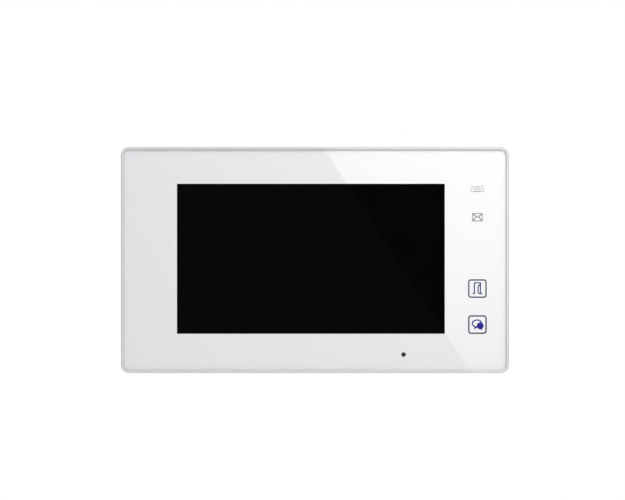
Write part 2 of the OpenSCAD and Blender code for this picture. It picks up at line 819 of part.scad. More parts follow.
module speaker_gasket() color("black") at_speaker() slab(gasket_y, seat_y) difference() {
    circle(speaker_r);
    circle(speaker_r - 2.6);
}

module speaker_screws() color("silver") at_speaker()
    for (a = ear_angles) at([ear_r * cos(a), ear_r * sin(a)])
        translate([0, flange_y, 0]) mirror([0, 1, 0]) screw(4, 1.4, 2, 3);

module speaker_wires() color("firebrick")
    for (s = [-1, 1]) {
        x = speaker_x + speaker_r - 2;
        z1 = speaker_plug[1] + s * wire_pitch / 2;
        wire([[x, flange_y - 0.85, speaker_z + s * 2], [x + 6, flange_y - 0.9, speaker_z + s * 2],
            [speaker_plug[0] - 12, board_back + 2, z1],
            [speaker_plug[0] - 2.5, board_back + 2, z1]], wire_d, [0, 0, 1]);
    }

// ---- Rear ----

module grille_holes()
    for (i = [-4 : 4], j = [-4 : 4])
        if (norm([3 * i + 1.5 * (abs(j) % 2), 2.6 * j]) < speaker_r - 5)
            translate([3 * i + 1.5 * (abs(j) % 2), 2.6 * j]) circle(d = grille_d);

module vent_slots(z, l)
    for (i = [-9 : 9]) translate([i * 6, z]) slot2d(1.8, l, false);

head_seat = cover_back - 3.6;

module rear_cover() color("gainsboro") difference() {
    union() {
        difference() {
            slanted_slab(cover_w, cover_h, cover_r, split_y + split_gap, cover_back,
                cover_slant, slant_d);
            slanted_slab(cover_w - 2 * cover_wall, cover_h - 2 * cover_wall,
                cover_r - cover_wall, split_y - 1, cover_inner, cover_slant, slant_d);
        }
        // lip that goes inside the frame
        slab(split_y - 1.7, split_y + 1) ring(inner_w - 0.5, inner_h - 0.5, inner_r, 1.6);
        // thickened floor of the bracket recess
        slab(recess_inner, cover_inner + 0.1)
            translate([0, (recess_low + recess_top) / 2])
                square([recess_w + 2 * recess_t, recess_top - recess_low + 2 * recess_t],
                    center = true);
        // well of the connection bay
        block([bay_left - bay_t, bay_right + bay_t], [bay_y - bay_t, recess_inner + 0.1],
            [bay_low - bay_t, bay_top + bay_t]);
        // speaker seat and screw bosses
        at_speaker() slab(seat_y, cover_inner + 0.1) difference() {
            circle(speaker_r);
            circle(speaker_r - 2.6);
        }
        at_speaker() for (a = ear_angles) at([ear_r * cos(a), ear_r * sin(a)])
            post(gasket_y, cover_inner + 0.1, 5);
        case_corners() post(split_y + 0.6, cover_inner + 0.1, case_boss_d);
        // stiffening ribs to the right of the recess
        for (z = [-34, -12, 26]) block([recess_w / 2 + recess_t, cover_w / 2 - cover_wall - 0.2],
            [cover_inner - 1.6, cover_inner + 0.1], [z - 0.6, z + 0.6]);
    }
    // recess for the bracket
    slab(recess_y, 1) translate([0, (recess_low + recess_top) / 2])
        rrect(recess_w, recess_top - recess_low, 6);
    // connection bay, and its opening round the plug and the switches
    block([bay_left, bay_right], [bay_y, 1], [bay_low, bay_top]);
    block([plug_x - header_w / 2 - 0.4, plug_x + header_w / 2 + 0.4], [board_back, bay_y + 1],
        [plug_low - plug_travel - 1, header_top + 2.4]);
    block([switch_x - 0.3, switch_x + switch_w + 0.3], [board_back, bay_y + 1],
        [switch_z - switch_h / 2 - 0.3, switch_z + switch_h / 2 + 0.3]);
    // hook slots
    for (p = hook_points) block([p[0] - 1.1, p[0] - 1.1 + bracket_t + 1], [recess_inner - 1, 0],
        [p[1] - neck_h - hook_lift - 0.5, p[1] + 0.05]);
    at_speaker() slab(cover_inner - 1, 1) grille_holes();
    slab(cover_inner - 1, 1) {
        vent_slots(body_h / 2 - 9, 7);
        vent_slots(-body_h / 2 + 6.9, 4.4);
    }
    case_corners() {
        post(head_seat, 1, 6.2);
        post(split_y, 1, 3.3);
    }
    at_speaker() for (a = ear_angles) at([ear_r * cos(a), ear_r * sin(a)])
        post(gasket_y - 1, gasket_y + 2.6, 2.1);
    slab(cover_back - label_t, 1) translate([label_x, label_z])
        rrect(label_w + 0.4, label_h + 0.4, 1);
    pad_places() post(cover_back - 0.6, 1, pad_d + 0.1);
}

module pad_places() for (sx = [-1, 1], sz = [-1, 1])
    at([sx * (cover_w / 2 - pad_inset[0]), sz * (cover_h / 2 - pad_inset[1])]) children();

module case_screws() color("silver") case_corners() translate([0, head_seat, 0])
    screw(5.6, 2, 2.6, head_seat - deck_back - 1.5);

module rating_label() color("whitesmoke") slab(cover_back - label_t, cover_back)
    translate([label_x, label_z]) rrect(label_w, label_h, 0.8);

module rubber_pads() color("dimgrey") pad_places() {
    post(cover_back - 0.6, -0.45, pad_d);
    translate([0, -0.1, 0]) rotate([90, 0, 0]) cylinder(d1 = pad_d - 1.2, d2 = pad_d, h = 0.4);
}

// ---- Slide switches ----

slider_low = switch_z - slider_travel / 2;

module switch_housing() color("royalblue") difference() {
    block([switch_x, switch_x + switch_w], [board_back, switch_back],
        [switch_z - switch_h / 2, switch_z + switch_h / 2]);
    for (i = [1 : ways]) translate([way_x(i), 0, switch_z]) {
        block([-knob / 2 - 0.1, knob / 2 + 0.1], [switch_back - 1.5, switch_back + 1],
            [-(knob + slider_travel) / 2 - 0.1, (knob + slider_travel) / 2 + 0.1]);
        block([-base[0] / 2 - 0.1, base[0] / 2 + 0.1], [switch_back - 1.6, switch_back - 0.6],
            [-(base[1] + slider_travel) / 2 - 0.1, (base[1] + slider_travel) / 2 + 0.1]);
    }
}

module switch_slider(i) color("white") translate([way_x(i), 0, slider_low]) {
    block([-knob / 2, knob / 2], [switch_back - 1, switch_back + 0.35], [-knob / 2, knob / 2]);
    block([-base[0] / 2, base[0] / 2], [switch_back - 1.5, switch_back - 1.5 + base_t],
        [-base[1] / 2, base[1] / 2]);
}

// ---- Terminals ----

module terminal_header() color("darkolivegreen") {
    difference() {
        block([plug_x - header_w / 2, plug_x + header_w / 2], [board_back, plug_back - 0.3],
            [header_low, header_top]);
        block([plug_x - plug_w / 2 + 0.1, plug_x + plug_w / 2 - 0.1],
            [plug_front + 0.4, plug_back - 1.1], [header_low - 1, nose_top + 0.4]);
        // keying grooves in the shroud's back wall
        for (i = [1 : poles]) block([pole_x(i) - 0.6, pole_x(i) + 0.6],
            [plug_back - 1.5, plug_back - 0.7], [header_low - 1, header_low + 2.5]);
    }
    // pins: straight into the shroud, and down into the board behind it
    for (i = [1 : poles]) {
        block([pole_x(i) - 0.5, pole_x(i) + 0.5], [pin_y - 0.5, pin_y + 0.5],
            [header_low + 1.3, header_top + 1.7]);
        block([pole_x(i) - 0.5, pole_x(i) + 0.5], [board_front - 0.6, pin_y + 0.5],
            [header_top + 0.7, header_top + 1.7]);
    }
}

module terminal_plug() color("green") difference() {
    union() {
        block([plug_x - plug_w / 2, plug_x + plug_w / 2], [plug_front, plug_back],
            [plug_low, nose_low]);
        block([plug_x - plug_w / 2 + 0.3, plug_x + plug_w / 2 - 0.3],
            [plug_front + 0.6, plug_back - 1.3], [nose_low - 0.1, nose_top]);
    }
    for (i = [1 : poles]) translate([pole_x(i), 0, 0]) {
        block([-1.2, 1.2], [pin_y - 1.2, pin_y + 1.2], [cage_z[1] + 2, nose_top + 1]);
        block([-bar_w / 2 - 0.1, bar_w / 2 + 0.1], [bar_y - 0.1, bar_y + bar_t + 0.1],
            [cage_z[0] - 1.2, nose_low]);
        block([-cage_w / 2 - 0.1, cage_w / 2 + 0.1], [cage_low - 0.1, cage_high + clamp_travel + 0.1],
            [cage_z[0] - 0.3, cage_z[1] + 0.3]);
        block([-1.3, 1.3], [bar_y - wire_gap, bar_y], [plug_low - 1, cage_z[0]]);
        at([0, screw_z]) post(cage_high, plug_back + 1, 3);
    }
}

// Contact: a bar through the cage, and a socket for the header's pin
module terminal_contacts() color("lightgoldenrodyellow")
    for (i = [1 : poles]) translate([pole_x(i), 0, 0]) difference() {
        union() {
            block([-bar_w / 2, bar_w / 2], [bar_y, bar_y + bar_t], [cage_z[0] - 1.1, cage_z[1] + 3]);
            block([-1.1, 1.1], [pin_y - 1.1, pin_y + 1.1], [cage_z[1] + 2.1, nose_top - 0.2]);
        }
        block([-0.55, 0.55], [pin_y - 0.55, pin_y + 0.55], [cage_z[1] + 3.4, nose_top + 1]);
    }

module clamp_screw(i) color("silver") at([pole_x(i), screw_z]) difference() {
    union() {
        post(head_y, head_y + clamp_head_t, 2.7);
        post(bar_y + bar_t + 0.03, head_y + 0.1, 1.8);
    }
    block([-1.5, 1.5], [head_y + clamp_head_t - 0.45, head_y + clamp_head_t + 1], [-0.25, 0.25]);
}

module clamp_cage(i) color("silver") translate([pole_x(i), 0, 0]) difference() {
    block([-cage_w / 2, cage_w / 2], [cage_low, cage_high], cage_z);
    block([-cage_w / 2 + cage_side, cage_w / 2 - cage_side],
        [cage_low + cage_bottom_t, cage_high - cage_top_t], [cage_z[0] - 1, cage_z[1] + 1]);
    at([0, screw_z]) post(cage_high - cage_top_t - 1, cage_high + 1, 2);
}

// ---- Wall bracket ----

// A hook stamped from the plate and bent forwards, as thick as the plate
module hook() {
    block([-bracket_t / 2, bracket_t / 2], [hook_back - finger_t, 0], [-neck_h, 0]);
    block([-bracket_t / 2, bracket_t / 2], [hook_back - finger_t, hook_back], [-neck_h, finger_h]);
}

module wall_bracket() color("lightgrey") {
    slab(-bracket_t, 0) difference() {
        rrect(bracket_w, bracket_h, 5.5);
        translate([0, (bay_low - 2 + bay_top + 6) / 2])
            rrect(bay_right - bay_left, bay_top + 6 - (bay_low - 2), 3);
        for (s = [-1, 1]) {
            translate([s * box_pitch / 2, 0]) slot2d(slot_w, slot_l, true);
            translate([0, s * tall_pitch / 2]) slot2d(slot_w, slot_l, false);
        }
        for (sx = [-1, 1], sz = [-1, 1]) translate([sx * (bracket_w / 2 - 8), sz * (bracket_h / 2 - 8)])
            circle(d = slot_w);
        // windows that the hooks are stamped from
        for (p = hook_points) translate([p[0] + bracket_t / 2, p[1] - neck_h])
            square([hook_back * -1 - bracket_t + finger_t, neck_h + finger_h]);
    }
    for (p = hook_points) at(p) hook();
}

wall_bracket();
cover_glass();
print_film();
indicator_icons();
key_icons();
glass_tape();
front_frame();
display_gasket();
display_bezel();
lcd_cell();
diffuser_films();
light_guide();
backlight_strip();
display_tray();
display_ribbon();
chassis_plate();
chassis_screws();
main_board();
board_spacers();
board_screws();
processor();
board_chips();
bus_inductors();
capacitors();
shield_can();
board_connectors();
key_board();
key_light_box();
key_leds();
key_ribbon();
microphone();
microphone_boot();
microphone_wires();
speaker_frame();
speaker_surround();
speaker_cone();
speaker_magnet();
speaker_gasket();
speaker_screws();
speaker_wires();
rear_cover();
case_screws();
rating_label();
rubber_pads();
switch_housing();
switch_slider(1);  // switch_slider_1
switch_slider(2);  // switch_slider_2
switch_slider(3);  // switch_slider_3
switch_slider(4);  // switch_slider_4
terminal_header();
terminal_plug();
terminal_contacts();
clamp_screw(1);  // clamp_screw_1
clamp_screw(2);  // clamp_screw_2
clamp_screw(3);  // clamp_screw_3
clamp_screw(4);  // clamp_screw_4
clamp_cage(1);  // clamp_cage_1
clamp_cage(2);  // clamp_cage_2
clamp_cage(3);  // clamp_cage_3
clamp_cage(4);  // clamp_cage_4
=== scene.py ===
# Video intercom monitor: finishes, softened edges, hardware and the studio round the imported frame.
import json
import math

import bmesh
import bpy
import numpy as np
from mathutils import Matrix, Vector


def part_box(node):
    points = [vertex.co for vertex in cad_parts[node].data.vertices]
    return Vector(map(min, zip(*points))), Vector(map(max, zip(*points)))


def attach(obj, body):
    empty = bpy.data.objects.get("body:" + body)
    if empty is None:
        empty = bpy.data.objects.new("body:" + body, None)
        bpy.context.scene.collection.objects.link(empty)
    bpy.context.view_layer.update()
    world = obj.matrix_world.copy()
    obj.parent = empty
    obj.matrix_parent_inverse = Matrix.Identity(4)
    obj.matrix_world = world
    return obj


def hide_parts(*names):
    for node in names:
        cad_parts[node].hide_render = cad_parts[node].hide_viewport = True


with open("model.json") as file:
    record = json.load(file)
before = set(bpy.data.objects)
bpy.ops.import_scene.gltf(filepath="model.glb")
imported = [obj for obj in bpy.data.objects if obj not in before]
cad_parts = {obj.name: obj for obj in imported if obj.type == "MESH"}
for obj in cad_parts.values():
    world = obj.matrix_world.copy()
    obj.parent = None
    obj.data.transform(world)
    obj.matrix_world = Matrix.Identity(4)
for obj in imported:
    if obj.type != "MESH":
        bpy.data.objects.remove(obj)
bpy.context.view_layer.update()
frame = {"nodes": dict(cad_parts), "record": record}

scene = bpy.context.scene
mm = 0.001
nodes = frame["nodes"]
slotOf = {part["node"]: part["material_slot"] for part in frame["record"]["subparts"]}
bodies = frame["record"]["behaviour"]["bodies"]
bodyOf = {node: body for body, members in bodies.items() for node in members}


def camel(words):
    first, *rest = words.split("_")
    return first + "".join(w.capitalize() for w in rest)


# the camera faces the front squarely
cameraView = {
    "lens": 200.0,  # both in mm
    "sensor": 36.0,
    "across": 0.3625,  # width of the view at the front of the frame
    "right": -1.45 * mm,  # place of the camera beside and above the middle of the frame
    "up": 5.8 * mm,
    "nearest": 0.01,
}

frameLow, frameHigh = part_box("front_frame")
frameMiddle = (frameLow + frameHigh) / 2
cameraData = bpy.data.cameras.new("camera")
cameraData.lens = cameraView["lens"]
cameraData.sensor_width = cameraView["sensor"]
camera = bpy.data.objects.new("camera", cameraData)
camera.rotation_euler = (math.radians(90), 0, 0)
camera.location = (
    frameMiddle.x + cameraView["right"],
    frameLow.y - cameraView["across"] * cameraView["lens"] / cameraView["sensor"],
    frameMiddle.z + cameraView["up"],
)
scene.collection.objects.link(camera)
scene.camera = camera
cameraData.clip_start = cameraView["nearest"]
print("camera placed")


def feed(tree, socket, value):
    if isinstance(value, bpy.types.NodeSocket):
        tree.links.new(value, socket)
    else:
        socket.default_value = value


def addNode(tree, kind, inputs=None, **settings):
    made = tree.nodes.new(kind)
    for name, value in settings.items():
        setattr(made, name, value)
    for key, value in (inputs or {}).items():
        feed(tree, made.inputs[key], value)
    return made


def mathNode(tree, operation, first, second=0.0, clamp=False):
    made = addNode(tree, "ShaderNodeMath", {0: first, 1: second}, operation=operation)
    made.use_clamp = clamp
    return made.outputs[0]


def scaled(tree, value, factor, plus, clamp=False):
    made = mathNode(tree, "MULTIPLY_ADD", value, factor, clamp)
    made.node.inputs[2].default_value = plus
    return made


def ramp(tree, value, start, end, first=0.0, last=1.0, easing="SMOOTHSTEP"):
    made = addNode(tree, "ShaderNodeMapRange", {"Value": value, "From Min": start, "From Max": end,
        "To Min": first, "To Max": last}, interpolation_type=easing)
    return made.outputs[0]


def objectPlace(tree):
    return addNode(tree, "ShaderNodeTexCoord").outputs["Object"]


def objectAxes(tree):
    split = addNode(tree, "ShaderNodeSeparateXYZ", {0: objectPlace(tree)})
    return split.outputs["X"], split.outputs["Y"], split.outputs["Z"]


def apart(tree, value, middle):
    return mathNode(tree, "ABSOLUTE", mathNode(tree, "SUBTRACT", value, middle))


def newGroup(name, kind, ins, outs):
    tree = bpy.data.node_groups.new(name, kind)
    for label, socketKind, default in ins:
        socket = tree.interface.new_socket(label, in_out="INPUT", socket_type=socketKind)
        if default is not None:
            socket.default_value = default
    for label, socketKind in outs:
        tree.interface.new_socket(label, in_out="OUTPUT", socket_type=socketKind)
    return tree, tree.nodes.new("NodeGroupInput"), tree.nodes.new("NodeGroupOutput")


def useGroup(tree, group, **inputs):
    return addNode(tree, "ShaderNodeGroup", inputs, node_tree=group)


# what every finish shares; scales are per metre
effects = {
    "wearGain": 6.0,  # growth of the edge mask, for rubbed edges and the frame's painted edge shade, with the turn of the surface
    "wearPatches": 350.0,
    "dustUp": 0.6,  # more dust on faces that look up
    "dustAll": 0.4,
    "dustScale": 70.0,
    "dustColor": (0.62, 0.60, 0.57),
    "roughSwing": 0.16,  # how far the grain moves the roughness
    "coatRough": 0.12,
}


def makeGrain():
    tree, ins, outs = newGroup("fineGrain", "ShaderNodeTree",
        [("Scale", "NodeSocketFloat", 2000.0), ("Pitting", "NodeSocketFloat", 0.3)],
        [("Height", "NodeSocketFloat"), ("Speckle", "NodeSocketFloat")])
    place = objectPlace(tree)
    noise = addNode(tree, "ShaderNodeTexNoise",
        {"Vector": place, "Scale": ins.outputs["Scale"], "Detail": 3.0, "Roughness": 0.6})
    cells = addNode(tree, "ShaderNodeTexVoronoi", {"Vector": place, "Scale": ins.outputs["Scale"]})
    pits = mathNode(tree, "MULTIPLY", cells.outputs["Distance"], ins.outputs["Pitting"])
    tree.links.new(mathNode(tree, "SUBTRACT", noise.outputs["Fac"], pits), outs.inputs["Height"])
    tree.links.new(noise.outputs["Fac"], outs.inputs["Speckle"])
    return tree


def makeTone():
    tree, ins, outs = newGroup("toneDrift", "ShaderNodeTree",
        [("Color", "NodeSocketColor", (0.8, 0.8, 0.8, 1)), ("Scale", "NodeSocketFloat", 30.0),
         ("Amount", "NodeSocketFloat", 0.05)],
        [("Color", "NodeSocketColor")])
    place = objectPlace(tree)
    noise = addNode(tree, "ShaderNodeTexNoise",
        {"Vector": place, "Scale": ins.outputs["Scale"], "Detail": 2.0})
    swing = mathNode(tree, "SUBTRACT", noise.outputs["Fac"], 0.5)
    value = scaled(tree, swing, ins.outputs["Amount"], 1.0)
    shifted = addNode(tree, "ShaderNodeHueSaturation",
        {"Color": ins.outputs["Color"], "Value": value})
    tree.links.new(shifted.outputs["Color"], outs.inputs["Color"])
    return tree


def makeWearAndShade():
    tree, ins, outs = newGroup("edgeWear", "ShaderNodeTree",
        [("Radius", "NodeSocketFloat", 0.0003), ("Amount", "NodeSocketFloat", 0.5)],
        [("Mask", "NodeSocketFloat")])
    rounded = addNode(tree, "ShaderNodeBevel", {"Radius": ins.outputs["Radius"]}, samples=4)
    plain = addNode(tree, "ShaderNodeNewGeometry")
    near = addNode(tree, "ShaderNodeVectorMath",
        {0: rounded.outputs["Normal"], 1: plain.outputs["Normal"]}, operation="DOT_PRODUCT")
    turned = mathNode(tree, "SUBTRACT", 1.0, near.outputs["Value"])
    edge = mathNode(tree, "MULTIPLY", turned, effects["wearGain"])
    place = objectPlace(tree)
    patches = addNode(tree, "ShaderNodeTexNoise",
        {"Vector": place, "Scale": effects["wearPatches"], "Detail": 3.0})
    wornAndShaded = mathNode(tree, "MULTIPLY", edge, patches.outputs["Fac"])
    mask = mathNode(tree, "MULTIPLY", wornAndShaded, ins.outputs["Amount"], clamp=True)
    tree.links.new(mask, outs.inputs["Mask"])
    return tree


def makeDust():
    tree, ins, outs = newGroup("dustFilm", "ShaderNodeTree",
        [("Scale", "NodeSocketFloat", 60.0), ("Amount", "NodeSocketFloat", 0.1)],
        [("Mask", "NodeSocketFloat")])
    place = objectPlace(tree)
    wide = addNode(tree, "ShaderNodeTexNoise",
        {"Vector": place, "Scale": ins.outputs["Scale"], "Detail": 5.0, "Roughness": 0.7})
    plain = addNode(tree, "ShaderNodeNewGeometry")
    up = addNode(tree, "ShaderNodeSeparateXYZ", {0: plain.outputs["Normal"]}).outputs["Z"]
    lying = scaled(tree, up, effects["dustUp"], effects["dustAll"], clamp=True)
    spread = mathNode(tree, "MULTIPLY", wide.outputs["Fac"], lying)
    mask = mathNode(tree, "MULTIPLY", spread, ins.outputs["Amount"], clamp=True)
    tree.links.new(mask, outs.inputs["Mask"])
    return tree


def makeBrush():
    tree, ins, outs = newGroup("rolledLines", "ShaderNodeTree",
        [("Scale", "NodeSocketFloat", 1500.0), ("Stretch", "NodeSocketVector", (0.03, 1, 1))],
        [("Height", "NodeSocketFloat")])
    place = objectPlace(tree)
    drawn = addNode(tree, "ShaderNodeVectorMath",
        {0: place, 1: ins.outputs["Stretch"]}, operation="MULTIPLY")
    lines = addNode(tree, "ShaderNodeTexNoise",
        {"Vector": drawn.outputs[0], "Scale": ins.outputs["Scale"], "Detail": 2.0})
    tree.links.new(lines.outputs["Fac"], outs.inputs["Height"])
    return tree


grainGroup, toneGroup, wearAndShadeGroup = makeGrain(), makeTone(), makeWearAndShade()
dustGroup, brushGroup = makeDust(), makeBrush()


# one finish for each material slot: color, roughness and metal, then grain or rolled lines (per
# metre, depth in metres), tone drift (per metre, amount), dust, and rubbed edges (radius, amount,
# color), which on the frame are painted shade darkening its rounded edges
finishes = {
    "cover_plastic": dict(color=(0.70, 0.695, 0.68), rough=0.52, grain=(1700, 6.5e-5, 0.5),
        tone=(14, 0.05), dust=0.16, wear=(0.0005, 0.25, (0.8, 0.79, 0.77))),
    "zinc_steel": dict(color=(0.50, 0.505, 0.51), rough=0.38, metal=0.9,
        lines=(1600, 5e-6, (0.04, 1, 1)), tone=(130, 0.34), dust=0.10,
        wear=(0.0004, 0.5, (0.75, 0.76, 0.77))),
    "foam_tape": dict(color=(0.10, 0.10, 0.105), rough=0.95, grain=(2600, 9e-5, 0.6),
        tone=(90, 0.2)),
    "bezel_steel": dict(color=(0.42, 0.42, 0.43), rough=0.35, metal=0.95,
        lines=(1800, 4e-6, (1, 1, 0.03)), tone=(60, 0.12)),
    "black_cell": dict(color=(0.0012, 0.0012, 0.0014), rough=0.22, grain=(9000, 1e-6),
        tone=(9, 0.3), sockets={"Specular IOR Level": 0.05}),
    "film_white": dict(color=(0.83, 0.84, 0.85), rough=0.4, grain=(4000, 1e-5), tone=(20, 0.03)),
    "clear_acrylic": dict(color=(0.86, 0.90, 0.92), rough=0.08, grain=(900, 2e-6), tone=(20, 0.03),
        sockets={"Transmission Weight": 0.85, "IOR": 1.49}),
    "led_strip": dict(color=(0.62, 0.50, 0.22), rough=0.45, metal=0.3, grain=(3000, 1e-5),
        tone=(160, 0.4)),
    "tray_white": dict(color=(0.78, 0.78, 0.77), rough=0.42, grain=(1500, 2e-5, 0.3),
        tone=(20, 0.05)),
    "ribbon_amber": dict(color=(0.42, 0.17, 0.035), rough=0.28,
        lines=(1400, 1.5e-5, (1, 0.02, 0.02)), tone=(400, 0.5), coat=0.4),
    "ribbon_white": dict(color=(0.72, 0.73, 0.76), rough=0.34, lines=(1300, 2e-5, (0.02, 0.02, 1)),
        tone=(60, 0.08)),
    "chassis_steel": dict(color=(0.48, 0.49, 0.50), rough=0.33, metal=0.92,
        lines=(1500, 5e-6, (0.03, 1, 1)), tone=(80, 0.2), dust=0.06),
    "screw_steel": dict(color=(0.52, 0.51, 0.48), rough=0.3, metal=0.95, grain=(4200, 8e-6),
        tone=(500, 0.3), wear=(0.0002, 0.6, (0.8, 0.79, 0.76))),
    "board_white": dict(color=(0.76, 0.77, 0.75), rough=0.3, grain=(1100, 6e-6), tone=(260, 0.1),
        coat=0.3),
    "chip_black": dict(color=(0.022, 0.022, 0.024), rough=0.55, grain=(4800, 1.5e-5, 0.4),
        tone=(300, 0.4)),
    "ferrite": dict(color=(0.055, 0.05, 0.048), rough=0.6, grain=(3600, 3e-5, 0.6),
        tone=(400, 0.4)),
    "can_aluminium": dict(color=(0.62, 0.62, 0.63), rough=0.32, metal=0.9, grain=(5200, 4e-6),
        tone=(200, 0.15)),
    "shield_tin": dict(color=(0.60, 0.60, 0.58), rough=0.28, metal=0.95,
        lines=(1500, 4e-6, (0.05, 1, 1)), tone=(180, 0.2)),
    "connector_ivory": dict(color=(0.72, 0.67, 0.53), rough=0.42, grain=(2400, 1.5e-5, 0.3),
        tone=(120, 0.08)),
    "led_body": dict(color=(0.80, 0.76, 0.50), rough=0.3, grain=(3000, 8e-6), tone=(500, 0.1)),
    "capsule_metal": dict(color=(0.55, 0.55, 0.54), rough=0.3, metal=0.9, grain=(4000, 5e-6),
        tone=(300, 0.2)),
    "black_rubber": dict(color=(0.018, 0.018, 0.019), rough=0.78, grain=(2600, 3e-5, 0.4),
        tone=(200, 0.4), dust=0.08),
    "red_wire": dict(color=(0.45, 0.025, 0.02), rough=0.36, grain=(2600, 8e-6), tone=(90, 0.12)),
    "basket_steel": dict(color=(0.30, 0.305, 0.31), rough=0.36, metal=0.85, grain=(4000, 1e-5),
        tone=(150, 0.25)),
    "paper_cone": dict(color=(0.035, 0.035, 0.038), rough=0.88, grain=(1900, 7e-5, 0.3),
        tone=(500, 0.6)),
    "magnet_nickel": dict(color=(0.55, 0.54, 0.51), rough=0.22, metal=1.0, grain=(4000, 3e-6),
        tone=(200, 0.15)),
    "grey_rubber": dict(color=(0.085, 0.087, 0.09), rough=0.8, grain=(2800, 4e-5, 0.4),
        tone=(160, 0.3), dust=0.14),
    "switch_blue": dict(color=(0.022, 0.075, 0.34), rough=0.42, grain=(2600, 1.5e-5, 0.3),
        tone=(150, 0.1), wear=(0.0002, 0.3, (0.1, 0.18, 0.45))),
    "slider_white": dict(color=(0.80, 0.80, 0.78), rough=0.4, grain=(3000, 1e-5), tone=(300, 0.06)),
    "terminal_green": dict(color=(0.025, 0.20, 0.085), rough=0.42, grain=(2300, 2e-5, 0.35),
        tone=(120, 0.1), wear=(0.00025, 0.3, (0.10, 0.34, 0.18)), dust=0.05),
    "contact_tin": dict(color=(0.66, 0.64, 0.56), rough=0.26, metal=0.95, grain=(4200, 5e-6),
        tone=(300, 0.2)),
}


def startMaterial(name):
    made = bpy.data.materials.new(camel(name))
    made.use_nodes = True
    tree = made.node_tree
    tree.nodes.clear()
    out = addNode(tree, "ShaderNodeOutputMaterial")
    return made, tree, out


def mixColor(tree, factor, first, second):
    made = tree.nodes.new("ShaderNodeMix")
    made.data_type = "RGBA"
    for index, value in ((0, factor), (6, first), (7, second)):  # the color sockets of the node
        feed(tree, made.inputs[index], value)
    return made.outputs[2]


def solidColor(rgb):
    return (*rgb, 1.0)


def inked(tree, factor, look, first, second):
    return mixColor(tree, factor, solidColor(look[first]), solidColor(look[second]))


def makeFinish(name, recipe, pattern=None):
    made, tree, out = startMaterial(name)
    shader = addNode(tree, "ShaderNodeBsdfPrincipled")
    tree.links.new(shader.outputs[0], out.inputs["Surface"])
    shader.inputs["Metallic"].default_value = recipe.get("metal", 0.0)
    shader.inputs["Coat Weight"].default_value = recipe.get("coat", 0.0)
    shader.inputs["Coat Roughness"].default_value = effects["coatRough"]
    for socket, value in recipe.get("sockets", {}).items():
        shader.inputs[socket].default_value = value
    base = pattern(tree) if pattern else solidColor(recipe["color"])
    toneScale, toneAmount = recipe["tone"]
    color = useGroup(tree, toneGroup, Color=base, Scale=toneScale, Amount=toneAmount).outputs[0]
    if "grain" in recipe:
        scale, depth, *pitting = recipe["grain"]
        grain = useGroup(tree, grainGroup, Scale=scale, Pitting=pitting[0] if pitting else 0.0)
        height, speckle = grain.outputs["Height"], grain.outputs["Speckle"]
    else:
        scale, depth, stretch = recipe["lines"]
        height = speckle = useGroup(tree, brushGroup, Scale=scale, Stretch=stretch).outputs[0]
    if "wear" in recipe:
        radius, amount, bareAndShade = recipe["wear"]
        # rubbed edges, and on the frame painted shade, mixed in where the surface turns
        wornAndShaded = useGroup(tree, wearAndShadeGroup, Radius=radius, Amount=amount).outputs[0]
        color = mixColor(tree, wornAndShaded, color, solidColor(bareAndShade))
    swing = mathNode(tree, "SUBTRACT", speckle, 0.5)
    roughness = scaled(tree, swing, effects["roughSwing"], recipe["rough"])
    if "dust" in recipe:
        dusty = useGroup(tree, dustGroup,
            Scale=effects["dustScale"], Amount=recipe["dust"]).outputs[0]
        color = mixColor(tree, dusty, color, solidColor(effects["dustColor"]))
        roughness = mathNode(tree, "ADD", roughness, dusty)
    tree.links.new(color, shader.inputs["Base Color"])
    tree.links.new(roughness, shader.inputs["Roughness"])
    bump = addNode(tree, "ShaderNodeBump", {"Height": height, "Distance": depth})
    tree.links.new(bump.outputs[0], shader.inputs["Normal"])
    return made


# ink of the white face and of the icons; the white carries painted shade, turning cooler and a
# little darker to the left where the light falls off
printInks = {
    "white": (0.89, 0.882, 0.878),
    # painted shade: a cooler, darker white for the left of the face
    "coolWhite": (0.868, 0.872, 0.905),
    "coolRate": -1.6,  # share of the painted, cooler shade for each metre to the right, and at the middle
    "coolMiddle": 0.25,
    "alarm": (0.42, 0.40, 0.37),
    "message": (0.27, 0.27, 0.30),
    "doorSquare": (0.032, 0.031, 0.10),
    "doorSign": (0.028, 0.018, 0.20),
    "talkSquare": (0.010, 0.008, 0.075),
    "talkSign": (0.007, 0.004, 0.27),
    "signHalf": 4.3 * mm,  # half the room inside a key's square
}


def whiteShadedPattern(tree):
    x, y, z = objectAxes(tree)
    # painted shade: more of the cooler, darker white towards the left
    paintedShade = scaled(tree, x, printInks["coolRate"], printInks["coolMiddle"], clamp=True)
    return inked(tree, paintedShade, printInks, "white", "coolWhite")


def indicatorPattern(tree):
    low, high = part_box("indicator_icons")
    x, y, z = objectAxes(tree)
    upper = mathNode(tree, "GREATER_THAN", z, (low.z + high.z) / 2)
    return inked(tree, upper, printInks, "message", "alarm")


def keyPattern(tree):
    low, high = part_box("key_icons")
    side = high.x - low.x
    x, y, z = objectAxes(tree)
    upper = mathNode(tree, "GREATER_THAN", z, (low.z + high.z) / 2)
    doorOff = apart(tree, z, high.z - side / 2)
    talkOff = apart(tree, z, low.z + side / 2)
    off = mathNode(tree, "MAXIMUM", mathNode(tree, "MINIMUM", doorOff, talkOff),
        apart(tree, x, (low.x + high.x) / 2))
    sign = mathNode(tree, "LESS_THAN", off, printInks["signHalf"])
    door = inked(tree, sign, printInks, "doorSquare", "doorSign")
    talk = inked(tree, sign, printInks, "talkSquare", "talkSign")
    return mixColor(tree, upper, talk, door)


# solder mask over copper tracks, with pads between them; scales are per metre
boardLook = {
    "mask": (0.012, 0.085, 0.035),
    "track": (0.03, 0.17, 0.07),
    "pad": (0.60, 0.58, 0.50),
    "trackScale": 260.0,
    "tracksEach": 6.0,  # tracks side by side in each cell
    "trackFrom": 0.3,
    "padScale": 420.0,
    "padReach": 0.16,
}


